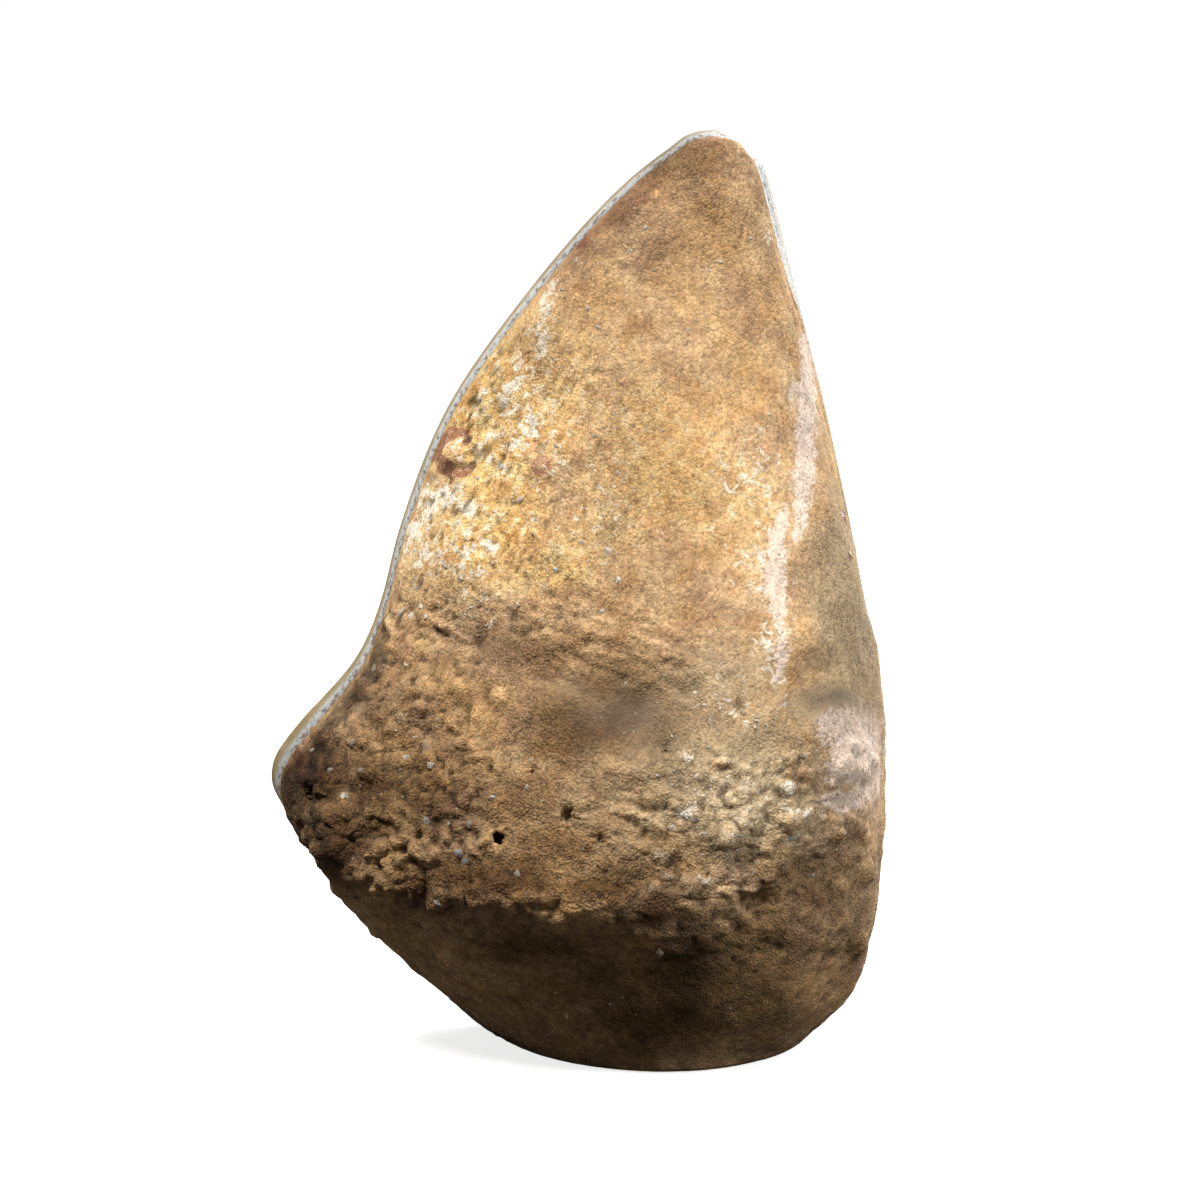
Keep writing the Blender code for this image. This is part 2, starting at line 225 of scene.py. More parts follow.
KNOBS = [
    (457, 451, 15, 2.4), (485, 396, 9, 1.7), (476, 418, 7, 1.4), (494, 438, 8, 1.2),
    (514, 399, 5, 0.9), (525, 410, 5, 0.9), (541, 466, 12, 1.2), (533, 452, 8, 0.9),
    (544, 552, 7, 1.2), (389, 810, 16, 1.8), (425, 830, 9, 2.0), (414, 848, 11, 2.0),
    (357, 830, 10, 1.8), (367, 847, 11, 1.9), (345, 812, 12, 1.5), (420, 711, 10, 1.4),
    (402, 715, 13, 0.8), (362, 712, 14, 1.0), (395, 880, 14, 1.8), (374, 857, 10, 1.8),
    (330, 850, 14, 1.4), (307, 762, 8, 1.6), (304, 780, 9, 1.8), (321, 780, 9, 1.4),
    (437, 902, 8, 1.4), (730, 836, 14, 1.8), (742, 820, 12, 1.6), (660, 857, 11, 1.5),
    (667, 876, 11, 1.4), (655, 892, 11, 1.4), (790, 822, 15, 1.5), (785, 788, 11, 1.3),
    (747, 787, 10, 1.0), (690, 812, 13, 1.2), (689, 757, 12, 0.9), (837, 835, 9, 1.0),
    (660, 952, 5, 1.2),
]

HOLLOWS = [
    (757, 903, 17, -3.2), (702, 898, 14, -2.4), (812, 870, 20, -2.6), (735, 926, 16, -1.6),
    (640, 640, 22, -0.8), (590, 652, 26, -0.9), (620, 662, 13, -0.8), (677, 664, 10, -0.8),
    (695, 690, 12, -0.6), (480, 640, 18, -0.8), (520, 625, 16, -0.8), (555, 905, 16, -1.4),
]

# The knobs, hollows and holes that chance strews: how many, box, radii, heights in mm, and seed.
STREWN_KNOBS = [
    (190, (390, 290, 600, 640), (3, 8), (0.4, 1.1), SEED),
    (260, (300, 680, 500, 900), (5, 15), (0.6, 2.4), SEED + 1),
    (70, (400, 300, 600, 640), (3, 5), (-0.9, -0.4), SEED + 7),
    (60, (310, 700, 500, 900), (3, 6), (-1.4, -0.5), SEED + 8),
    (110, (640, 740, 870, 900), (5, 14), (0.5, 1.6), SEED + 2),
    (90, (560, 180, 800, 640), (3, 6), (0.3, 0.8), SEED + 3),
    (130, (262, 780, 480, 1000), (3, 8), (0.5, 1.5), SEED + 5),
    (60, (620, 880, 860, 960), (5, 12), (0.5, 1.5), SEED + 6),
]

# The crumbly lower edge of the rind: its course with half widths, and the lumps and notches along it.
LEDGE = [
    (290, 820, 10), (345, 872, 12), (400, 892, 15), (440, 903, 16), (504, 912, 17),
    (560, 915, 17), (630, 905, 17), (700, 896, 14),
]

LEDGE_LUMPS = [
    (100, (300, 850, 720, 930), (5, 16), (0.6, 2.6), SEED + 4),
    (60, (300, 850, 720, 935), (5, 12), (-2.0, -0.6), SEED + 10),
]

# Fine creases: across, down and half width.
CREASE_DEPTH = 0.6 * MM
CREASES = [
    [(637, 655, 3), (662, 676, 4), (680, 690, 4), (702, 704, 3)],
    [(402, 745, 2), (410, 715, 2)],
    [(398, 640, 3), (440, 634, 4), (480, 640, 3)],
    [(560, 618, 3), (600, 612, 4), (650, 622, 3)],
]

# How far the outlines of each mask wander, for stained colours and painted shade alike, in places of the
# sheet.
BROAD = 20
CLOSE = 5
STAIN_AND_SHADE_REACH = {
    "gold": BROAD, "shade": BROAD, "clay": BROAD, "umber": 10, "soot": BROAD, "hole": 1, "grime": CLOSE,
    "chalk": CLOSE, "streak": 4, "rust": CLOSE, "peach": CLOSE, "smudge": BROAD, "slate": CLOSE,
}

# The soft spots of each mask, for stained colours and painted shade alike: across, down, half width, half
# height and strength.
STAIN_AND_SHADE_SPOTS = {
    "gold": [
        (500, 420, 85, 110, 1.0), (470, 530, 80, 75, 1.0), (560, 560, 55, 50, 0.7),
        (640, 470, 90, 110, 0.55), (700, 470, 60, 90, 0.45), (745, 500, 25, 60, 0.6),
    ],
    # Painted shade: broad spots that darken the stone where it lies in shade.
    "shade": [
        (685, 160, 60, 40, 0.8), (640, 205, 50, 40, 0.48), (715, 210, 50, 50, 0.66),
        (590, 250, 40, 34, 0.54), (670, 245, 70, 34, 0.46), (580, 285, 34, 30, 0.5),
        (740, 300, 60, 60, 0.26), (640, 325, 60, 30, 0.38), (545, 350, 26, 40, 0.5),
        (500, 395, 40, 30, 0.32), (610, 385, 80, 50, 0.32), (645, 490, 70, 50, 0.34),
        (622, 528, 34, 34, 0.42), (570, 562, 50, 34, 0.3), (440, 592, 40, 24, 0.3),
        (862, 640, 26, 70, 0.4), (780, 740, 40, 30, 0.25), (835, 525, 30, 40, 0.3),
        (480, 620, 70, 30, 0.36), (640, 602, 80, 34, 0.36), (530, 655, 90, 36, 0.72),
        (620, 680, 62, 46, 0.8), (575, 728, 80, 48, 0.95), (400, 712, 80, 54, 0.7),
        (650, 745, 50, 60, 0.6), (310, 780, 50, 60, 1.1), (375, 780, 60, 56, 1.0),
        (440, 795, 80, 74, 0.9), (520, 800, 90, 54, 0.82), (560, 845, 100, 50, 0.8),
        (340, 838, 54, 50, 1.15), (480, 882, 130, 34, 1.2), (605, 884, 76, 26, 1.1),
        (650, 902, 60, 18, 1.1), (664, 875, 40, 30, 0.85), (700, 845, 30, 26, 0.55),
        (740, 860, 60, 30, 0.42), (800, 885, 60, 32, 0.72), (850, 868, 40, 56, 0.5),
        (640, 922, 60, 24, 0.56), (690, 946, 60, 40, 0.8), (700, 1000, 90, 40, 0.7),
        (780, 935, 90, 50, 0.52), (850, 932, 40, 60, 0.56),
    ],
    "clay": [
        (730, 790, 120, 90, 0.9), (700, 690, 80, 60, 0.6), (850, 620, 45, 150, 0.9),
        (640, 870, 50, 30, 0.5),
    ],
    "umber": [
        (705, 150, 60, 30, 0.5), (690, 250, 40, 26, 0.4), (652, 262, 26, 16, 0.4),
        (612, 292, 16, 10, 0.4), (757, 200, 10, 26, 0.6), (768, 292, 12, 34, 0.4),
    ],
    # Painted shade over darker stone: the underside, the ledge, the flange and the lower-left knobs.
    "soot": [
        (300, 800, 22, 40, 0.75), (318, 765, 14, 20, 0.6), (340, 880, 35, 30, 0.45),
        (385, 810, 70, 60, 0.55), (590, 990, 130, 70, 0.75), (540, 950, 100, 32, 0.95),
        (420, 940, 80, 50, 0.4), (650, 966, 110, 14, 0.8), (690, 975, 70, 34, 0.9),
        (650, 1030, 120, 40, 0.9), (760, 1010, 60, 50, 0.6),
    ],
    # Painted shade in the pits, stronger in the deeper ones.
    "hole": [(x, y, 0.8 * radius, 0.7 * radius, -height / DEEP_PIT) for x, y, radius, height in PITS],
    # Grime along the left edge, and painted shade in pits and hollows.
    "grime": [
        (472, 401, 9, 9, 0.6), (428, 478, 10, 7, 0.8), (620, 662, 10, 5, 0.45),
        (677, 664, 8, 4, 0.45),
    ],
    "chalk": [
        (552, 288, 9, 12, 0.66), (546, 308, 9, 14, 0.75), (541, 334, 11, 14, 0.8),
        (537, 356, 13, 11, 0.64), (521, 374, 14, 9, 0.62), (500, 322, 5, 9, 0.6),
        (446, 497, 22, 14, 0.85), (430, 508, 18, 14, 0.8), (468, 508, 12, 7, 0.9),
        (426, 488, 9, 7, 0.8), (415, 530, 10, 14, 0.95), (408, 548, 7, 10, 0.7),
        (426, 555, 14, 8, 0.8), (490, 546, 12, 9, 0.8), (470, 575, 16, 9, 0.6),
        (532, 518, 8, 6, 0.6), (512, 386, 18, 6, 0.9), (505, 406, 11, 9, 0.95),
        (529, 419, 15, 8, 0.85), (513, 444, 10, 6, 0.7), (497, 433, 8, 6, 0.7),
        (500, 468, 7, 5, 0.7), (500, 375, 6, 5, 0.7), (490, 372, 8, 4, 0.7),
        (556, 470, 8, 6, 0.6), (565, 462, 6, 8, 0.6), (459, 451, 10, 12, 0.55),
        (484, 395, 8, 7, 0.8), (476, 417, 7, 6, 0.9), (450, 545, 60, 60, 0.44),
        (520, 420, 60, 70, 0.44), (470, 600, 60, 34, 0.3), (590, 520, 50, 70, 0.28),
        (765, 560, 30, 50, 0.42), (745, 490, 44, 70, 0.36), (772, 650, 24, 50, 0.46),
        (740, 700, 60, 40, 0.3), (800, 812, 16, 5, 0.7), (792, 838, 14, 4, 0.8),
        (785, 788, 9, 7, 0.7), (689, 757, 10, 9, 0.7), (687, 813, 12, 10, 0.7),
        (660, 856, 9, 7, 0.7), (700, 880, 14, 5, 0.5), (740, 800, 90, 60, 0.26),
        (768, 235, 4, 16, 0.5), (362, 712, 10, 9, 0.4), (402, 715, 10, 9, 0.4),
    ],
    "streak": [
        (793, 392, 6, 13, 0.9), (777, 592, 17, 22, 0.7), (856, 746, 30, 44, 1.1),
        (836, 722, 26, 18, 0.95), (842, 801, 26, 12, 1.1), (866, 776, 20, 36, 0.95),
        (846, 772, 24, 16, 0.95),
    ],
    "rust": [
        (541, 466, 12, 9, 1.0), (582, 240, 8, 8, 1.0), (297, 754, 6, 5, 1.0),
        (303, 764, 7, 6, 0.8), (304, 781, 8, 7, 0.9), (322, 779, 8, 6, 0.7),
        (745, 320, 10, 8, 0.5), (389, 810, 12, 10, 0.5),
    ],
    "peach": [
        (533, 450, 8, 7, 1.0), (459, 450, 12, 13, 0.75), (778, 597, 8, 12, 0.8),
        (837, 834, 8, 4, 1.0), (832, 820, 4, 6, 0.7), (833, 734, 7, 9, 0.8),
        (855, 738, 12, 16, 0.4), (716, 767, 12, 8, 0.6), (740, 700, 26, 10, 0.3),
        (800, 770, 18, 12, 0.5),
    ],
    "smudge": [
        (620, 712, 48, 34, 1.0), (575, 690, 45, 18, 0.6), (640, 750, 30, 24, 0.6),
        (828, 698, 42, 15, 1.0),
    ],
    "slate": [
        (747, 787, 8, 6, 0.8), (742, 820, 11, 8, 0.7), (730, 836, 9, 6, 0.6),
        (667, 876, 8, 6, 0.8), (655, 892, 10, 6, 0.8), (690, 893, 12, 6, 0.7),
        (427, 747, 8, 10, 0.6), (452, 742, 7, 7, 0.6), (461, 857, 8, 7, 0.6),
        (630, 880, 16, 8, 0.5), (718, 722, 16, 8, 0.5), (850, 735, 9, 7, 0.4),
        (620, 320, 8, 6, 0.5),
    ],
}

# Some stains are drawn out along strokes as well: across, down and half width.
STAIN_STROKES = {
    "umber": [
        [(668, 160, 8), (640, 195, 15), (608, 222, 12), (580, 244, 8)],
    ],
    "grime": [
        [
            (384, 618, 5), (380, 650, 9), (368, 680, 12), (348, 705, 11),
            (330, 728, 9), (316, 748, 7),
        ],
        [(314, 765, 5), (312, 790, 7), (318, 822, 7), (340, 862, 6)],
    ],
    "streak": [
        [
            (805, 338, 5), (808, 379, 9), (806, 416, 12), (807, 453, 12),
            (803, 491, 13), (801, 520, 8), (795, 540, 4),
        ],
        [(786, 508, 4), (777, 538, 10), (775, 574, 12), (778, 606, 9)],
        [(780, 616, 7), (782, 650, 5), (778, 680, 3)],
    ],
    "rust": [
        [
            (452, 433, 7), (443, 440, 8), (440, 452, 8), (443, 465, 8),
            (453, 472, 6), (466, 472, 6), (473, 462, 5),
        ],
        [(452, 433, 6), (464, 436, 5), (471, 447, 4)],
    ],
}

# Where each kind of rough weathering lies, as soft spots.
ROUGH_ZONES = {
    "knobbly": [(470, 470, 90, 160, 1), (430, 610, 100, 60, 0.9), (540, 610, 60, 50, 0.7)],
    "nodular": [(385, 780, 115, 120, 1), (470, 870, 90, 40, 0.7)],
    "shelf": [(740, 830, 110, 75, 1), (620, 880, 80, 40, 0.8), (720, 930, 90, 40, 0.7)],
}

# The wrinkles that run across the rind: where they lie, their slant, length, width and height.
WRINKLED = [
    (600, 640, 110, 45, 1), (430, 650, 90, 55, 1), (620, 820, 60, 60, 0.8),
    (800, 940, 110, 70, 0.9), (480, 790, 80, 60, 0.4), (500, 960, 140, 60, 0.5),
]
WRINKLE_SLANT = math.radians(20)
WRINKLE_LONG = 12 * MM
WRINKLE_WIDE = 4 * MM
WRINKLE_HIGH = 1.6 * MM

# The part of the rind that gets a finer mesh, because it carries knobs and faces the viewer.
FINE_MESH = [
    (450, 500, 110, 170, 1), (400, 800, 140, 110, 1), (740, 830, 150, 90, 1),
    (560, 860, 200, 60, 1), (600, 650, 120, 60, 1),
]
FINE_MESH_Y = 12 * MM

# Knobs and creases with places of their own end here, short of the rim.
CARVED_Y = 35 * MM


def wrinkles(sheet, points):
    """Low wrinkles that run across the rind, in metres."""
    cover = spots(sheet, WRINKLED)
    near = np.flatnonzero(cover > 0.02)
    raised = np.zeros(len(points))
    cos, sin = math.cos(WRINKLE_SLANT), math.sin(WRINKLE_SLANT)
    along = points[near, 0] * cos - points[near, 2] * sin
    across = points[near, 0] * sin + points[near, 2] * cos
    depth = points[near, 1]
    lanes = np.stack([along / WRINKLE_LONG, depth / WRINKLE_LONG, across / WRINKLE_WIDE], axis=1)
    raised[near] = [noise.fractal(lane, 0.8, 2.0, 3) for lane in lanes]
    return raised * cover * WRINKLE_HIGH


def weighted(piece, name, values):
    """The values become a vertex group, which limits a modifier."""
    group = piece.vertex_groups.new(name=name)
    for index in np.flatnonzero(values > 0.01):
        group.add([int(index)], float(values[index]), "REPLACE")
    return group.name


def grain_texture(name, kind, size, **settings):
    """A texture that lifts and lowers the rind, its swells about this size."""
    texture = bpy.data.textures.new(name, kind)
    texture.noise_scale = size
    for key, value in settings.items():
        setattr(texture, key, value)
    return texture


def smoothed(piece, values, rounds):
    """The values at the vertices, each mixed with its neighbours' a number of times."""
    ends = read(piece.data.edges, "vertices", 2, np.int32)
    count = np.bincount(ends.ravel(), minlength=len(values))[:, None]
    for _ in range(rounds):
        total = np.zeros_like(values)
        for axis in range(values.shape[1]):
            total[:, axis] = np.bincount(ends[:, 0], values[ends[:, 1], axis], len(values))
            total[:, axis] += np.bincount(ends[:, 1], values[ends[:, 0], axis], len(values))
        values = 0.5 * values + 0.5 * total / count
    return values


def split_faces(piece, wanted):
    """The wanted faces, given by their middles, are cut once more."""
    chosen = wanted(read(piece.data.polygons, "center").astype(float))
    editing(piece)
    done()
    piece.data.polygons.foreach_set("select", chosen)
    bpy.ops.object.mode_set(mode="EDIT")
    bpy.ops.mesh.subdivide(number_cuts=1)
    done()


def rough_and_near(middles):
    """Faces of the rind that the viewer sees and that carry knobs."""
    return (spots(on_sheet(middles), FINE_MESH) > 0.5) & (middles[:, 1] < FINE_MESH_Y)


def keep_sharp(piece):
    """The sawn and cut edges stay sharp when the mesh is smoothed."""
    editing(piece, "EDGE")
    bpy.ops.mesh.edges_select_sharp(sharpness=math.radians(50))
    done()
    for edge in piece.data.edges:
        first, last = [piece.data.vertices[index].co for index in edge.vertices]
        on_base = max(first.z, last.z) < BASE_Z
        near_cut = first.y > RIND_EDGE_Y - 4 * MM
        edge.select = on_base or (edge.select and near_cut)
    bpy.ops.object.mode_set(mode="EDIT")
    bpy.ops.transform.edge_crease(value=1)
    done()


def weather(piece, zones):
    """Swells, knobs, nodules, crumbs and sand are raised by textures, each in its own zone."""
    layers = [
        # zone, texture and height in mm
        ("rind", grain_texture("swells", "CLOUDS", 16 * MM, noise_depth=2), 1.8),
        ("knobbly", grain_texture("knobs", "CLOUDS", 5 * MM, noise_depth=2), 2.6),
        ("nodular", grain_texture("nodules", "VORONOI", 6 * MM), -3.0),
        ("shelf", grain_texture("crumbs", "CLOUDS", 8 * MM, noise_depth=3), 4.0),
        ("rind", grain_texture("lumps", "CLOUDS", 6 * MM, noise_depth=2), 0.6),
        ("rind", grain_texture("sand", "CLOUDS", 2.4 * MM, noise_depth=1), 0.8),
    ]
    for name, values in zones.items():
        weighted(piece, name, values)
    for zone, texture, height in layers:
        lifted = {"texture": texture, "vertex_group": zone, "strength": height * MM}
        modifier(piece, "DISPLACE", texture_coords="LOCAL", **lifted)


def carve(piece, sheet, near):
    """The knobs, holes, wrinkles and creases that have a place of their own."""
    points = places(piece)
    moved = domes(wandered(sheet, points, 4, 5 * MM), KNOBS)
    moved += domes(wandered(sheet, points, 1, 5 * MM), PITS)
    moved += domes(wandered(sheet, points, 12, 12 * MM), HOLLOWS)
    bent = wandered(sheet, points, 6, 5 * MM)
    for row in STREWN_KNOBS:
        moved += domes(bent, scatter(*row))
    edge = sum(domes(bent, scatter(*row)) for row in LEDGE_LUMPS)
    moved += edge * stroke(bent, LEDGE)
    moved += wrinkles(sheet, points)
    for crease in CREASES:
        moved -= stroke(bent, crease) * CREASE_DEPTH
    put(piece, points + normals(piece) * (moved * near)[:, None])


def stain_and_shade(piece, sheet, seen):
    """Every vertex learns how far it stands out and how strongly each mask holds there, for the stained
    colours and for the painted shade.

    The broad masks, most of the painted shade among them, go on round the stone, and the others end where
    it turns from the viewer.
    """
    points = places(piece)
    raised = (points - smoothed(piece, points, 6)) * normals(piece)
    note(piece, "relief", raised.sum(axis=1) / MM)
    for name, rows in STAIN_AND_SHADE_SPOTS.items():
        reach = STAIN_AND_SHADE_REACH[name]
        stained = wandered(sheet, points, reach, reach * MM)
        cover = spots(stained, rows)
        for line in STAIN_STROKES.get(name, []):
            cover = np.maximum(cover, stroke(stained, line))
        note(piece, name, cover if reach == BROAD else cover * seen)


def make_stone():
    piece = copy_of("geode_stone", "weathered_geode")
    keep_sharp(piece)
    modifier(piece, "SUBSURF", levels=2, render_levels=2)
    split_faces(piece, rough_and_near)
    points = places(piece)
    sheet = on_sheet(points)
    facing = -normals(piece)[:, 1]
    rind = 1 - ramp(points[:, 1], RIND_EDGE_Y - 6 * MM, RIND_EDGE_Y - 0.5 * MM)
    rind[in_hollow(points, facing)] = 0
    zones = {name: rind * spots(sheet, rows) for name, rows in ROUGH_ZONES.items()}
    weather(piece, {"rind": rind, **zones})
    seen = ramp(-normals(piece) @ AHEAD, 0.02, 0.22)
    carve(piece, sheet, rind * seen * (points[:, 1] < CARVED_Y))
    flatten(piece, points[:, 2] < BASE_Z)
    keep_inside(piece)
    stain_and_shade(piece, sheet, seen)
    note(piece, "rough", np.max(list(zones.values()), axis=0))
    note(piece, "cut", 1 - rind_share(places(piece), facing))
    note(piece, "band", band_depth(places(piece)))
    piece.vertex_groups.clear()
    bpy.ops.object.shade_smooth()
    return piece


def flatten(piece, sawn):
    """The sawn vertices go back to the plane of the base."""
    points = places(piece)
    points[sawn, 2] = 0
    put(piece, points)


def keep_inside(piece):
    """No vertex leaves the box of the solids."""
    low, high = cad_box
    put(piece, np.clip(places(piece), np.array(low), np.array(high)))


# On the right, the rind runs further round towards the face, up to the height where the tip begins.
RIGHT_X = (10 * MM, 30 * MM)
TIP_Z = (240 * MM, 275 * MM)
RIGHT_EXTRA = 5.5 * MM
RIM_FADE = 5 * MM

# The lining of the hollow lies above this height and to the right of this line.
LINING_Z = 25 * MM
LINING_X = -80 * MM


def in_hollow(points, facing):
    """The vertices that look back towards the face: the lining of the hollow."""
    return (facing < -0.25) & (points[:, 2] > LINING_Z) & (points[:, 0] > LINING_X)


def rind_share(points, facing):
    """1 on the weathered rind and 0 on the polished rim, the face and the hollow."""
    right = ramp(points[:, 0], *RIGHT_X) * (1 - ramp(points[:, 2], *TIP_Z))
    edge = RIND_EDGE_Y + RIGHT_EXTRA * right
    share = 1 - np.clip((points[:, 1] - edge) / RIM_FADE + 0.4, 0, 1)
    share[in_hollow(points, facing) & (points[:, 1] < RIND_EDGE_Y)] = 0
    return share


def band_depth(points):
    """How far each vertex lies from the edge of the rind, in millimetres, where the stone is cut."""
    at_edge = abs(points[:, 1] - RIND_EDGE_Y) < 0.5 * MM
    edge = np.flatnonzero(at_edge & (points[:, 2] > 2 * MM))
    tree = KDTree(len(edge))
    for index in edge:
        tree.insert(points[index], int(index))
    tree.balance()
    depth = np.zeros(len(points))
    for index in np.flatnonzero(points[:, 1] > RIND_EDGE_Y):
        depth[index] = tree.find(points[index])[2] / MM
    return depth


# Quartz grains that stand in the rind: across, down, radius, and a tint from white to pink.
GRAINS = [
    (478, 478, 3, 0.3), (536, 520, 3, 0.3), (466, 538, 4, 0.3), (458, 552, 3, 0.3),
    (446, 567, 5, 0.35), (555, 570, 4, 0.3), (581, 542, 3, 0.3), (618, 580, 4, 0.1),
    (634, 424, 4, 0.55), (617, 473, 3, 0.3), (556, 446, 3, 0.35), (594, 436, 3, 0.3),
    (520, 500, 4, 0.1), (616, 506, 4, 0.5), (608, 550, 5, 0.1), (474, 546, 4, 0.0),
    (460, 578, 5, 0.05), (402, 613, 6, 0.0), (411, 616, 6, 0.0), (421, 606, 5, 0.05),
    (425, 616, 4, 0.0), (375, 667, 6, 0.2), (352, 741, 5, 0.1), (406, 757, 4, 0.1),
    (430, 765, 5, 0.1), (406, 665, 4, 0.0), (344, 795, 5, 0.1), (330, 769, 4, 0.2),
    (306, 742, 6, 0.95), (312, 750, 4, 0.1), (360, 770, 4, 0.3), (437, 903, 5, 0.15),
    (531, 760, 3, 0.1), (459, 854, 5, 0.3), (465, 862, 5, 0.3), (469, 826, 5, 0.25),
    (449, 825, 4, 0.3), (427, 820, 5, 0.3), (491, 797, 4, 0.1), (527, 787, 4, 0.05),
    (517, 874, 4, 0.2), (756, 721, 3, 0.0), (755, 728, 3, 0.0), (772, 722, 2, 0.0),
    (784, 809, 4, 0.0), (726, 849, 4, 0.1), (737, 851, 3, 0.0), (700, 877, 4, 0.1),
    (660, 952, 5, 0.1), (800, 743, 2, 0.0), (804, 757, 4, 0.3), (672, 828, 4, 0.3),
    (695, 693, 3, 0.05), (637, 792, 4, 0.9), (602, 612, 4, 0.1), (576, 260, 4, 0.1),
    (645, 228, 3, 0.1), (629, 251, 4, 0.1), (588, 309, 3, 0.3), (598, 327, 3, 0.3),
    (562, 290, 3, 0.3), (720, 262, 3, 0.1), (844, 519, 8, 0.95), (843, 512, 5, 0.1),
    (851, 555, 7, 0.9),
]
# More of them are strewn over these boxes of the sheet: how many, box and radii.
STREWN_GRAINS = [
    (120, (400, 280, 620, 640), (0.8, 2.4)),
    (50, (330, 640, 520, 900), (0.8, 2.6)),
    (110, (640, 700, 870, 910), (0.9, 2.8)),
    (40, (520, 600, 760, 860), (0.8, 2.2)),
    (60, (560, 180, 800, 600), (0.8, 2.2)),
    (26, (420, 920, 860, 1040), (1.0, 2.6)),
]
STREWN_TINTS = (0.1, 0.3, 0.45, 0.6)

# And over the rind that the viewer doesn't see.
BEHIND_COUNT = 260
BEHIND_RADII = (1.2, 4)
BEHIND_TINTS = (0.0, 0.2, 0.3, 0.55)
BEHIND_Y = -10 * MM

# How much of its radius a grain is sunk, and the width of one place of the sheet on the stone.
GRAIN_SINK = 0.25
PLACE_WIDTH = DISTANCE / SHEET_AWAY


def seen_place(stone, across, down):
    """Where the eye's line through a place on the sheet meets the rind, and the normal there."""
    aside = (across - SHEET / 2) / SHEET_AWAY
    upward = (SHEET / 2 - down) / SHEET_AWAY
    line = AHEAD + ASIDE * aside + UPWARD * upward
    hit, place, normal, _ = stone.ray_cast(Vector(EYE), Vector(line).normalized())
    return (place, normal) if hit and place.y < RIND_EDGE_Y - 2 * MM else None


def on_hidden_rind(face):
    """A face of the rind that the viewer doesn't see, right of the middle or near the base."""
    middle = face.center
    on_rind = 4 * MM < middle.z and BEHIND_Y < middle.y < RIND_EDGE_Y - 3 * MM
    outside = face.normal.x * middle.x > 0 or face.normal.y < -0.2
    turned_away = face.normal.dot((middle - Vector(EYE)).normalized()) > 0.3
    return on_rind and outside and turned_away and (middle.x > 0 or middle.z < 50 * MM)


def make_grain(seed):
    """An angular grain of radius 1."""
    bpy.ops.object.select_all(action="DESELECT")
    bpy.ops.mesh.primitive_ico_sphere_add(subdivisions=1, radius=1, location=(0, 0, 0))
    grain = bpy.context.object
    grain.name = f"grain_{seed}"
    editing(grain)
    bpy.ops.mesh.select_all(action="SELECT")
    bpy.ops.transform.vertex_random(offset=0.4, seed=seed)
    bpy.ops.transform.resize(value=(1.15, 0.9, 0.75))
    done()
    return grain


def grain_seats(stone, chance):
    """Every grain's place and normal on the stone, or None off the rind, with its radius and tint."""
    seats = []
    for across, down, radius, tint in GRAINS:
        seats.append((seen_place(stone, across, down), radius, tint))
    for count, (left, top, right, bottom), radii in STREWN_GRAINS:
        for _ in range(count):
            found = seen_place(stone, chance.uniform(left, right), chance.uniform(top, bottom))
            seats.append((found, chance.uniform(*radii), chance.choice(STREWN_TINTS)))
    rind_faces = [face for face in stone.data.polygons if on_hidden_rind(face)]
    for face in chance.sample(rind_faces, BEHIND_COUNT):
        found = (face.center, face.normal)
        seats.append((found, chance.uniform(*BEHIND_RADII), chance.choice(BEHIND_TINTS)))
    return seats


def turned_to(axis, chance):
    """The turn that points +Z along an axis, with a chance turn about it."""
    return axis.to_track_quat("Z", "X") @ Quaternion((0, 0, 1), chance.uniform(0, math.tau))


def laid(kind, lie, name):
    """A copy of a small part with a mesh of its own, moved to where it lies."""
    copy = bpy.data.objects.new(name, kind.data.copy())
    copy.data.transform(lie)
    bpy.context.scene.collection.objects.link(copy)
    return copy


def make_grains(stone):
    chance = random.Random(SEED + 9)
    kinds = [make_grain(seed) for seed in range(4)]
    grains = []
    for found, radius, tint in grain_seats(stone, chance):
        if found is None:
            continue
        place, normal = found
        size = radius * PLACE_WIDTH
        turned = turned_to(normal, chance).to_matrix().to_4x4()
        sunk = Vector(place) - GRAIN_SINK * size * Vector(normal)
        lie = Matrix.Translation(sunk) @ turned @ Matrix.Scale(size, 4)
        grain = laid(chance.choice(kinds), lie, "grain")
        note(grain, "tint", np.full(len(grain.data.vertices), tint))
        grains.append(grain)
    grains = joined(grains, "quartz_grains", kinds)
    keep_inside(grains)
    # Each grain takes the rind's painted shade at its place.
    note(grains, "shade", spots(on_sheet(places(grains)), STAIN_AND_SHADE_SPOTS["shade"]))
    return grains


def joined(pieces, name, kinds):
    """The pieces as one, and the kinds that they were copied from are removed."""
    for kind in kinds:
        bpy.data.objects.remove(kind)
    alone(pieces[0])
    for piece in pieces:
        piece.select_set(True)
    bpy.ops.object.join()
    pieces[0].name = name
    return pieces[0]


# -------------------------------------------------------------- the hollow

# The points lean towards this place outside the mouth, less in height than aside.
GOAL = np.array([0.0204, FACE_Y + 18 * MM, 0.138])
GOAL_PULL = np.array([1.0, 1.0, 0.45])
TIP_CLEARANCE = 0.8 * MM

# The points, from large to small: how many, radius in mm from and to, and length over radius from and to.
POINT_SIZES = [
    (90, 4.4, 6.4, 1.6, 2.3),
    (420, 2.9, 4.3, 1.5, 2.4),
    (3200, 1.2, 2.8, 1.5, 2.6),
]

# The length of a point of radius 1 before it is stretched.
POINT_LENGTH = 1.6

# How close points stand, as a share of their radii, and how far they sway from their axes.
CROWDING = 0.72
SWAY = 0.22

# The crust's flat upper border sinks by this much, so that points hide it.
SHELF_SINK = 3 * MM
SHELF_DEPTH = (3 * MM, 8 * MM)

# Points that stand less deep than this lie flatter, and the least deep ones needn't fit under the face.
STEEP_DEPTH = 12 * MM
FREE_DEPTH = 4 * MM


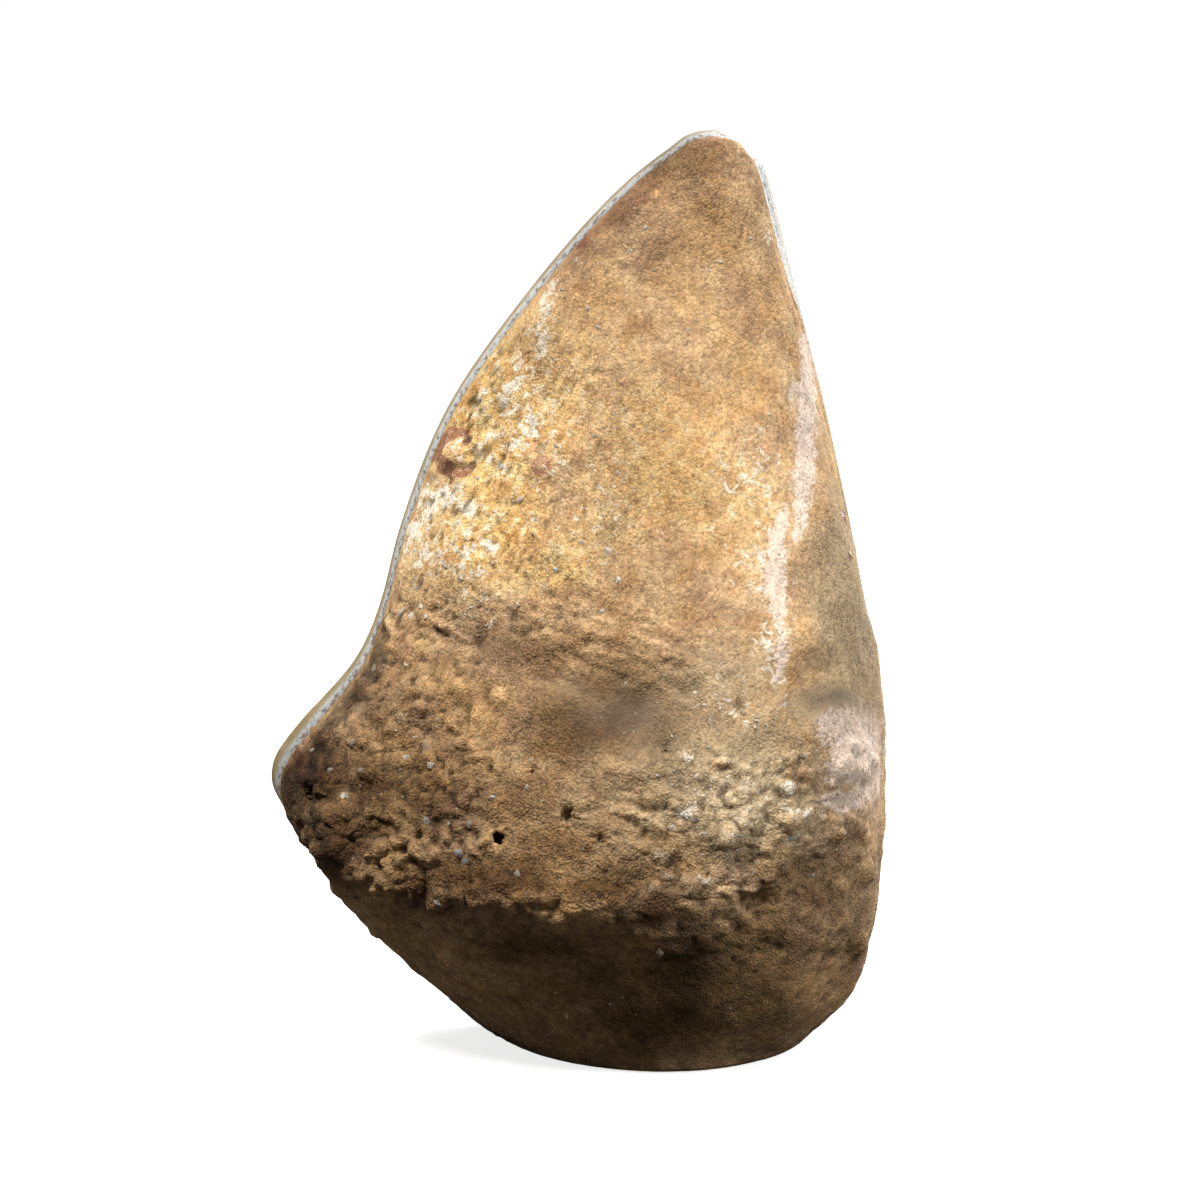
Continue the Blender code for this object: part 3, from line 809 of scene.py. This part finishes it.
def make_crust():
    """The milky quartz under the points: the solid's crust, its points worn down and its border sunk."""
    crust = copy_of("citrine_crystals", "quartz_crust")
    points = places(crust)
    depth = FACE_Y - points[:, 1]
    inward = np.array([inward_from(place) for place in points])
    facing = (normals(crust) * inward).sum(axis=1)
    shelf = ramp(depth, 0, 0.1 * MM) * (1 - ramp(depth, *SHELF_DEPTH)) * ramp(facing, -0.4, 0)
    points[:, 1] -= shelf * SHELF_SINK
    put(crust, points)
    inner = ramp(FACE_Y - points[:, 1], 0.5 * MM, 3 * MM)
    group = weighted(crust, "inner", inner)
    modifier(crust, "SMOOTH", factor=0.6, iterations=7, vertex_group=group)
    crust.vertex_groups.clear()
    modifier(crust, "SUBSURF", subdivision_type="SIMPLE", levels=1, render_levels=1)
    # How deep the crust lies below the face; the deep crust gets the darker amber, partly painted shade
    # between the points.
    note(crust, "deep", ramp(FACE_Y - places(crust)[:, 1], 0.4 * MM, 2 * MM))
    alone(crust)
    bpy.ops.object.shade_smooth()
    return crust


def make_point(name, tip, cap):
    """A quartz point of radius 1 with its root at the origin: a six-sided prism and a slanting cap."""
    bpy.ops.object.select_all(action="DESELECT")
    bpy.ops.mesh.primitive_cylinder_add(vertices=6, radius=1, depth=1, location=(0, 0, 0.1))
    point = bpy.context.object
    point.name = name
    bpy.ops.object.transform_apply()
    top = [face.index for face in point.data.polygons if face.normal.z > 0.9]
    editing(point)
    done()
    point.data.polygons[top[0]].select = True
    bpy.ops.object.mode_set(mode="EDIT")
    bpy.ops.mesh.extrude_region_move(TRANSFORM_OT_translate={"value": (tip[0], tip[1], cap)})
    bpy.ops.transform.resize(value=(0.12, 0.2, 1))
    done()
    heights = places(point)[:, 2]
    note(point, "rise", (heights - heights.min()) / np.ptp(heights))
    return point


def inward_from(place):
    """The way a point grows out of the crust: towards the middle of the hollow and its mouth."""
    return Vector((GOAL - place) * GOAL_PULL).normalized()


def can_carry(face):
    """A face of the crust's inner side that isn't too near its border."""
    depth = FACE_Y - face.center.y
    on_shelf = face.normal.y > 0.3 and depth > 0.9 * MM
    on_wall = face.normal.dot(inward_from(np.array(face.center))) > 0.2 and depth > 0.6 * MM
    return on_shelf or on_wall


def crust_seats(crust, chance):
    """Places on the inner side of the crust, in a shuffled order."""
    seats = []
    for face in crust.data.polygons:
        if not can_carry(face):
            continue
        corners = [np.array(crust.data.vertices[index].co) for index in face.vertices]
        for _ in range(1 + int(face.area / (2 * MM * MM))):
            shares = np.array([chance.random() for _ in corners])
            seats.append((shares / shares.sum()) @ np.array(corners))
    chance.shuffle(seats)
    return seats


def lie_of(place, radius, length, chance):
    """The matrix that stands a point on its seat, or None where it would leave the hollow."""
    axis = inward_from(place)
    depth = FACE_Y - TIP_CLEARANCE - place[1]
    axis.y *= min(1.0, depth / STEEP_DEPTH)
    axis = (axis.normalized() + Vector([chance.gauss(0, SWAY) for _ in range(3)])).normalized()
    if depth > FREE_DEPTH:
        flat = math.sqrt(max(0.0, 1 - axis.y * axis.y))
        length = min(length, (depth - radius * flat) / max(axis.y, 0.05))
        if length < radius:
            return None
    stretch = Matrix.Diagonal((radius, radius, length / POINT_LENGTH, 1))
    return Matrix.Translation(place) @ turned_to(axis, chance).to_matrix().to_4x4() @ stretch


def grow_point(kinds, lie, chance):
    """A point that ends just short of the polished face."""
    point = laid(chance.choice(kinds), lie, "point")
    highest = FACE_Y - TIP_CLEARANCE * chance.uniform(0.3, 1.2)
    put(point, np.minimum(places(point), [1, highest, 1]))
    note(point, "tint", np.full(len(point.data.vertices), chance.random()))
    return point


def make_points(crust):
    """The largest points take their seats first, and smaller ones fill the gaps."""
    chance = random.Random(SEED)
    kinds = [
        make_point("even_point", (0.1, -0.05), 1.0),
        make_point("leaning_point", (0.35, 0.2), 0.9),
        make_point("long_point", (-0.2, 0.3), 1.15),
    ]
    seats = crust_seats(crust, chance)
    taken = np.empty((0, 3))
    sizes = np.empty(0)
    grown = []
    for count, thin, thick, short, tall in POINT_SIZES:
        wanted = len(grown) + count
        for place in seats:
            if len(grown) == wanted:
                break
            radius = chance.uniform(thin, thick) * MM
            if (((taken - place) ** 2).sum(axis=1) < (CROWDING * (sizes + radius)) ** 2).any():
                continue
            lie = lie_of(place, radius, radius * chance.uniform(short, tall), chance)
            if lie is None:
                continue
            taken = np.vstack([taken, place])
            sizes = np.append(sizes, radius)
            grown.append(grow_point(kinds, lie, chance))
    return joined(grown, "citrine_points", kinds)


# ------------------------------------------------------------- the materials


def paint(*levels):
    """A colour from its eight-bit red, green and blue."""
    linear = [((c / 255 + 0.055) / 1.055) ** 2.4 if c > 10 else c / 255 / 12.92 for c in levels]
    return (*linear, 1.0)


class Wire:
    """An output of a node that takes part in sums."""

    def __init__(self, nodes, socket):
        self.nodes = nodes
        self.socket = socket

    def __add__(self, other):
        return self.nodes.math("ADD", self, other)

    def __sub__(self, other):
        return self.nodes.math("SUBTRACT", self, other)

    def __rsub__(self, other):
        return self.nodes.math("SUBTRACT", other, self)

    def __mul__(self, other):
        return self.nodes.math("MULTIPLY", self, other)

    def __truediv__(self, other):
        return self.nodes.math("DIVIDE", self, other)

    __radd__ = __add__
    __rmul__ = __mul__

    def held(self):
        """Kept between 0 and 1."""
        return self.nodes.math("ADD", self, 0.0, clamp=True)

    def above(self, low, high):
        """0 below low and 1 above high."""
        return ((self - low) / (high - low)).held()


class Nodes:
    """The nodes of a material or the world, all made in one way."""

    def __init__(self, owner):
        owner.use_nodes = True
        self.tree = owner.node_tree
        self.tree.nodes.clear()

    def node(self, kind, settings=None, sockets=None, output=0):
        """A node with its settings and inputs, as the Wire of one output."""
        made = self.tree.nodes.new("ShaderNode" + kind)
        for key, value in (settings or {}).items():
            if key == "stops":
                self.set_stops(made.color_ramp, value)
            else:
                setattr(made, key, value)
        for key, value in (sockets or {}).items():
            if isinstance(value, Wire):
                self.tree.links.new(value.socket, made.inputs[key])
            else:
                made.inputs[key].default_value = value
        return Wire(self, made.outputs[output]) if len(made.outputs) else None

    def math(self, operation, first, second=0.0, clamp=False):
        """A sum, product or the like of numbers and Wires."""
        return self.node("Math", {"operation": operation, "use_clamp": clamp}, {0: first, 1: second})

    def set_stops(self, ramp_data, stops):
        """The places and colours of a colour ramp."""
        while len(ramp_data.elements) < len(stops):
            ramp_data.elements.new(1.0)
        for element, (position, colour) in zip(ramp_data.elements, stops):
            element.position = position
            element.color = colour


class Finish(Nodes):
    """A material and the few patterns and mixtures it is made of."""

    def __init__(self, name):
        self.material = bpy.data.materials.new(name)
        super().__init__(self.material)
        self.place = self.node("TexCoord", output="Object")

    def blend(self, mask, first, second, kind="MIX"):
        """The first colour, and the second where the mask is 1."""
        settings = {"data_type": "RGBA", "blend_type": kind}
        return self.node("Mix", settings, {0: mask, 6: first, 7: second}, output=2)

    def noted(self, name):
        """A number that is noted at every vertex."""
        return self.node("Attribute", {"attribute_name": name}, output="Fac")

    def scaled(self, colour, factor):
        """A colour made lighter or darker."""
        return self.node("VectorMath", {"operation": "SCALE"}, {0: colour, "Scale": factor})

    def mottle(self, size, detail=3.0, rough=0.55, at=None, bend=0.0):
        """Cloudy noise whose patches are about this size in millimetres."""
        sockets = {
            "Vector": at or self.place,
            "Scale": 1000 / size,
            "Detail": detail,
            "Roughness": rough,
            "Distortion": bend,
        }
        return self.node("TexNoise", {}, sockets)

    def cells(self, size, output="Distance"):
        """Grains of about this size in millimetres: how far their middles are, or their colours."""
        return self.node("TexVoronoi", {}, {"Vector": self.place, "Scale": 1000 / size}, output=output)

    def bumped(self, height, strength, distance):
        return self.node("Bump", {}, {"Height": height, "Strength": strength, "Distance": distance})

    def surface(self, sockets, inside=None):
        """The finished material, with what light meets inside it where it is clear."""
        shader = self.node("BsdfPrincipled", {}, sockets)
        ends = {"Surface": shader}
        if inside:
            ends["Volume"] = inside
        self.node("OutputMaterial", {}, ends)
        return self.material


# The size of the rind's grains in millimetres, and how its ripples slant and are drawn out.
GRAIN_SIZE = 0.95
RIPPLE_SLANT = WRINKLE_SLANT * 1.4
RIPPLE_STRETCH = (3.2, 2, 1)


class Rind(Finish):
    """The weathered stone's finish, with the textures that its colour, light and relief share."""

    def __init__(self, name):
        super().__init__(name)
        self.patch = self.mottle(11, detail=7, rough=0.66)
        self.crumb = self.mottle(3.2, detail=4, rough=0.65)
        self.sand = self.mottle(0.9, detail=2, rough=0.6)
        self.fleck = self.mottle(3.0, detail=4, rough=0.75)
        self.flake = self.mottle(3.2, detail=7, rough=0.72, bend=0.9)
        self.grain = self.cells(GRAIN_SIZE)
        colour = self.cells(GRAIN_SIZE, output="Color")
        self.tone = self.node("SeparateColor", {}, {"Color": colour}, output="Red")
        slant = {"Vector": self.place, "Rotation": (0, RIPPLE_SLANT, 0), "Scale": RIPPLE_STRETCH}
        slanted = self.node("Mapping", {"vector_type": "TEXTURE"}, slant)
        self.ripple = self.mottle(2.6, detail=5, rough=0.62, at=slanted, bend=0.3)
        self.breaks = self.patch + self.crumb + self.sand - 1.5
        self.rough = self.noted("rough").held()
        self.shade = self.noted("shade").held()

    def cover(self, name, low, high, ragged):
        """Where a mask shows, for a stained colour or for painted shade, its outline broken up by patches,
        crumbs and sand.
        """
        return (self.noted(name) + self.breaks * ragged).above(low, high)

    def flakes(self, name, amount):
        """Where a stain lies in crisp flakes."""
        stained = self.noted(name)
        return (stained + (self.flake - 0.5) * amount).above(0.5, 0.56) * stained.above(0.02, 0.12)

    def gilding(self):
        """Bright gold with pale crumbs, the crumbs partly a painted highlight on their raised tops."""
        gold = self.blend(self.patch.above(0.42, 0.58), paint(208, 154, 76), paint(246, 206, 128))
        # Painted highlight in part: the raised crumb tops are paler.
        return self.blend(self.crumb.above(0.5, 0.6) * 0.7, gold, paint(252, 230, 184))

    def colour(self):
        """Ochre under its stained colours and painted shade, the lowest first, and a broad painted shade
        multiplied over all.
        """
        broad = self.mottle(38, detail=2)
        greyish = self.mottle(24, detail=5, rough=0.6, bend=0.6)
        rind = self.blend(self.patch.above(0.38, 0.6), paint(192, 150, 104), paint(228, 193, 146))
        stains_and_shade = [
            (broad.above(0.42, 0.58) * 0.5, paint(214, 170, 114)),
            (greyish.above(0.48, 0.58) * 0.6, paint(176, 142, 112)),
            (self.cover("clay", 0.1, 0.8, 0.5) * 0.8, paint(198, 176, 140)),
            (self.cover("gold", 0.2, 0.9, 0.8) * 0.9, self.gilding()),
            (self.cover("umber", 0.2, 0.9, 0.7) * 0.75, paint(142, 104, 80)),
            (self.cover("peach", 0.2, 0.7, 0.6) * 0.7, paint(228, 172, 122)),
            (self.cover("rust", 0.35, 0.5, 0.3) * 0.9, paint(160, 110, 84)),
            (self.cover("slate", 0.3, 0.8, 0.9) * 0.7, paint(184, 180, 166)),
            (self.cover("chalk", 0.1, 0.9, 0.6) * 0.48, paint(238, 216, 180)),
            (self.flakes("chalk", 3.1) * 0.95, paint(252, 240, 220)),
            (self.cover("streak", 0.15, 0.7, 0.6) * 0.6, paint(222, 194, 166)),
            (self.flakes("streak", 1.9) * 0.8, paint(242, 220, 202)),
            (self.cover("smudge", 0.1, 0.9, 0.2) * 0.75, paint(150, 134, 114)),
            # Grime, and painted shade in pits and hollows.
            (self.cover("grime", 0.25, 0.8, 0.9) * 0.75, paint(92, 74, 56)),
            # Painted shade over darker stone, darkest on the underside.
            (self.cover("soot", 0.1, 0.9, 0.5) * 0.88, paint(68, 46, 8)),
            # Painted shade in the pits.
            (self.cover("hole", 0.3, 0.75, 0.1) * 0.8, paint(66, 48, 30)),
        ]
        for share, colour in stains_and_shade:
            rind = self.blend(share, rind, colour)
        # Painted shade: the broad shade mask multiplies a dark brown over the whole rind.
        return self.blend(self.cover("shade", 0.0, 1.1, 0.35) * 0.95, rind, paint(116, 98, 72), "MULTIPLY")

    def light(self, calm):
        """How light or dark the rind is made: the grain's tone and flecks, painted shade in hollows, crumb
        and sand dips, grain gaps and ripple troughs, and painted highlights on knobs, crumb tops and
        ripple crests.
        """
        relief = self.noted("relief")
        # Painted shade: darker in the hollows of the relief and in the dips of the crumbs.
        hollow = relief * (-1.2 - self.rough * 2.2)
        hollow = hollow + (0.42 - self.crumb) * 1.4 * (self.rough + self.shade * 0.5)
        # Painted highlight: lighter on knobs and on the tops of the crumbs.
        knob_highlight = relief * 2.0 + (self.crumb - 0.58) * 0.8 * self.rough
        # Painted shade in the gaps between grains, beside the grain's own tone; sand and ripples are
        # painted lighter where raised and darker where sunk.
        gap_shade = self.grain.above(0.34, 0.62)
        speckle_and_shade = (self.tone - 0.5) * 0.4 + (self.sand - 0.5) * 1.1 - gap_shade * (0.08 + self.shade * 0.3)
        speckle_and_shade = speckle_and_shade - self.fleck.above(0.58, 0.64) * 0.26
        speckle_and_shade = speckle_and_shade + (1 - self.fleck.above(0.34, 0.4)) * 0.18
        speckle_and_shade = speckle_and_shade + (self.ripple - 0.5) * (0.2 + self.shade * 0.5)
        return (0.96 + speckle_and_shade * calm) * (1 - hollow.held() * 0.6 * calm) * (1 + knob_highlight.held() * 0.3)

    def height(self):
        """The relief of crumbs, grains and ripples, which is stronger in rough and shaded places."""
        crumbs = self.crumb * (0.1 + self.rough * 0.9 + self.shade * 0.2)
        grains = (self.sand - self.grain * 0.8) * (0.16 + self.rough * 0.2 + self.shade * 0.6)
        return crumbs + grains + self.ripple * (0.3 + self.shade * 1.2)


def stone_finish():
    """The sandy rind, and polished agate where the stone is cut."""
    rind = Rind("weathered_stone")
    calm = 1 - rind.noted("smudge").held() * 0.75
    # The colour times the grain's tone, with its painted shade and highlights.
    weathered = rind.scaled(rind.colour(), rind.light(calm))
    cut = (rind.noted("cut") + (rind.crumb - 0.5) * 0.9).above(0.36, 0.44)
    height = rind.height() * (1 - cut) * calm
    return rind.surface(
        {
            "Base Color": rind.blend(cut, weathered, agate_colour(rind)),
            "Roughness": 0.92 - cut * (0.62 + rind.noted("band").above(5.0, 9.0) * 0.18),
            "Specular IOR Level": 0.3,
            "Normal": rind.bumped(height, 0.9, 1.0 * MM),
        }
    )


# The bands of the cut stone: how far from the rind in mm, and the colour there.
AGATE = [
    (0.0, (176, 182, 184)), (2.6, (202, 205, 202)), (4.2, (168, 152, 120)), (6.0, (158, 138, 100)),
    (8.6, (190, 166, 126)), (9.4, (226, 220, 206)), (10.2, (170, 172, 168)), (12.6, (150, 150, 146)),
    (13.4, (214, 206, 190)), (15.0, (186, 158, 116)), (18.0, (168, 148, 118)), (20.5, (208, 200, 182)),
    (23.0, (186, 182, 172)), (28.0, (216, 202, 174)), (36.0, (190, 176, 150)), (44.0, (214, 196, 162)),
]
AGATE_DEPTH = 50.0
AGATE_LINES = 5.2


def agate_colour(finish):
    """Bands that follow the rind: pale chalcedony outside, then honey, grey and milky quartz."""
    sway = (finish.mottle(16, detail=2) - 0.5) * 6.0 + (finish.mottle(3.5, detail=3) - 0.5) * 1.6
    depth = finish.noted("band")
    swayed = depth + sway * (0.2 + depth.above(2.0, 12.0) * 0.8)
    stops = [(reach / AGATE_DEPTH, paint(*colour)) for reach, colour in AGATE]
    bands = finish.node("ValToRGB", {"stops": stops}, {"Fac": swayed / AGATE_DEPTH})
    lines = finish.math("SINE", swayed * AGATE_LINES)
    # Painted shade: the outer bands darken with the rind's painted shade, the deeper bands not.
    dimmed = 1 - finish.noted("shade").held() * (1 - depth.above(6.0, 10.0)) * 0.55
    bands = finish.scaled(bands, (1 + lines * 0.06) * dimmed)
    cloud = finish.mottle(7, detail=4)
    milky = cloud.above(0.5, 0.75) * depth.above(3.0, 8.0) * 0.5
    bands = finish.blend(milky, bands, paint(226, 214, 188))
    specks = finish.mottle(2.0, detail=3, rough=0.7) + finish.noted("grime") * 0.1
    dots = specks.above(0.5, 0.56) * (1 - depth.above(1.4, 4.2))
    return finish.blend(dots * 0.75, bands, paint(92, 66, 44))


def grain_finish():
    """Pale quartz, from white over blue-grey and honey to pink, darkened by the rind's painted shade."""
    finish = Finish("quartz_grain")
    stops = [
        (0.0, paint(228, 218, 200)),
        (0.3, paint(178, 180, 176)),
        (0.6, paint(206, 172, 124)),
        (0.95, paint(196, 130, 112)),
    ]
    tint = finish.node("ValToRGB", {"stops": stops}, {"Fac": finish.noted("tint")})
    dirt = finish.mottle(1.2, detail=3).above(0.36, 0.6)
    quartz = finish.blend(dirt * 0.65, tint, paint(172, 144, 104))
    return finish.surface(
        {
            # Painted shade: darker where the rind around the grain is painted shaded.
            "Base Color": finish.scaled(quartz, 0.9 - finish.noted("shade").held() * 0.5),
            "Roughness": 0.45,
            "Normal": finish.bumped(finish.mottle(0.8), 0.5, 0.3 * MM),
        }
    )


def citrine_finish():
    """Milky at the root, deep amber at the tip."""
    finish = Finish("citrine")
    rise = finish.noted("rise")
    tint = finish.noted("tint")
    cloud = finish.mottle(3, detail=3)
    amber = finish.blend(tint, paint(255, 206, 118), paint(240, 152, 54))
    depth = (rise + (cloud - 0.5) * 0.5 + (tint - 0.5) * 0.3).above(0.05, 0.75)
    honey = finish.node("VolumeAbsorption", {}, {"Color": (1.0, 0.66, 0.2, 1), "Density": 75.0})
    return finish.surface(
        {
            "Base Color": finish.blend(depth, paint(246, 234, 206), amber),
            "Roughness": 0.08 + (1 - depth) * 0.2,
            "Transmission Weight": 0.85,
            "IOR": 1.544,
        },
        honey,
    )


def crust_finish():
    """Milky quartz round the mouth of the hollow, and darker amber between the points, partly painted
    shade there.
    """
    finish = Finish("milky_quartz")
    cloud = finish.mottle(6, detail=4).above(0.3, 0.7)
    quartz = finish.blend(cloud, paint(220, 164, 90), paint(238, 214, 168))
    amber = finish.blend(cloud, paint(142, 82, 34), paint(188, 122, 58))
    return finish.surface(
        {
            # Painted shade in part: the deep crust between the points is a darker amber.
            "Base Color": finish.blend(finish.noted("deep"), quartz, amber),
            "Roughness": 0.25,
            "Normal": finish.bumped(finish.cells(1.6), 0.4, 0.4 * MM),
        }
    )


# ------------------------------------------------------------- the staging


def make_floor():
    bpy.ops.object.select_all(action="DESELECT")
    bpy.ops.mesh.primitive_plane_add(size=80, location=(0, 0, -0.0005))
    floor = bpy.context.object
    floor.name = "floor"
    bpy.ops.object.transform_apply()
    floor.data.materials.append(floor_finish())


def floor_finish():
    """Pale and softly shaded round the stone, and white further off."""
    finish = Finish("pale_floor")
    seen = finish.node("LightPath", output="Is Camera Ray")
    soft = finish.node("BsdfDiffuse", {}, {"Color": (0.45, 0.45, 0.45, 1)})
    dim = finish.node("BsdfDiffuse", {}, {"Color": (0.07, 0.065, 0.06, 1)})
    off = finish.node("VectorMath", {"operation": "LENGTH"}, {0: finish.place}, output="Value")
    bright = 0.8 + off.above(0.25, 0.8) * 0.2
    glow = finish.node("Emission", {}, {"Color": (1, 1, 1, 1), "Strength": bright})
    lit = finish.node("AddShader", {}, {0: soft, 1: glow})
    both = finish.node("MixShader", {}, {0: seen, 1: dim, 2: lit})
    finish.node("OutputMaterial", {}, {"Surface": both})
    return finish.material


ROOM_LIGHT = 0.14


def make_room():
    """White to the eye, and a dim even light on the stone."""
    world = bpy.data.worlds.new("room")
    bpy.context.scene.world = world
    nodes = Nodes(world)
    seen = nodes.node("LightPath", output="Is Camera Ray")
    mix = {"Factor": seen, "A": ROOM_LIGHT, "B": 1.0}
    strength = nodes.node("Mix", {}, mix, output="Result")
    back = nodes.node("Background", {}, {"Color": (1, 1, 1, 1), "Strength": strength})
    nodes.node("OutputWorld", {}, {"Surface": back})


# Each lamp: name, place, width, power in watts, and colour.
LAMPS = [
    ("key", (-0.66, -0.55, 1.50), 0.36, 33, (1.0, 0.97, 0.93)),
    ("fill", (1.15, -0.7, 1.15), 0.7, 17, (1, 1, 1)),
    ("behind", (0.85, 1.4, 1.05), 1.4, 58, (1, 1, 1)),
]


def make_lamp(name, place, size, power, colour):
    """A square lamp that shines on the middle of the stone."""
    bpy.ops.object.select_all(action="DESELECT")
    bpy.ops.object.light_add(type="AREA", location=place)
    lamp = bpy.context.object
    lamp.name = name
    lamp.data.size = size
    lamp.data.energy = power
    lamp.data.color = colour
    toward = Vector((0, 0, 0.16)) - Vector(place)
    lamp.rotation_euler = toward.to_track_quat("-Z", "Y").to_euler()


def make_camera():
    bpy.ops.object.camera_add(location=EYE, rotation=(math.pi / 2 - TILT, 0, 0))
    camera = bpy.context.object
    camera.data.lens = LENS
    camera.data.sensor_width = SENSOR
    bpy.context.scene.camera = camera


def dress(piece, finish, node):
    """The piece gets its finish and stands for a solid of the part."""
    piece.data.materials.append(finish)
    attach(piece, "root")
    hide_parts(node)


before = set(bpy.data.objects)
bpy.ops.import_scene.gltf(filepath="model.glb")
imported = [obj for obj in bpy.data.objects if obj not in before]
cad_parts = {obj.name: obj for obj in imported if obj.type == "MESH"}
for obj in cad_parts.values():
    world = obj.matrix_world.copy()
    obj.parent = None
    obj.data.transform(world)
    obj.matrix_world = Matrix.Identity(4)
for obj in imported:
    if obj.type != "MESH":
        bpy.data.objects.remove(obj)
cad_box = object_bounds()
noise.seed_set(SEED)
bpy.context.scene.view_settings.view_transform = "Standard"

stone = make_stone()
dress(make_grains(stone), grain_finish(), "geode_stone")
dress(stone, stone_finish(), "geode_stone")
crust = make_crust()
dress(make_points(crust), citrine_finish(), "citrine_crystals")
dress(crust, crust_finish(), "citrine_crystals")

make_floor()
make_room()
for lamp in LAMPS:
    make_lamp(*lamp)
make_camera()
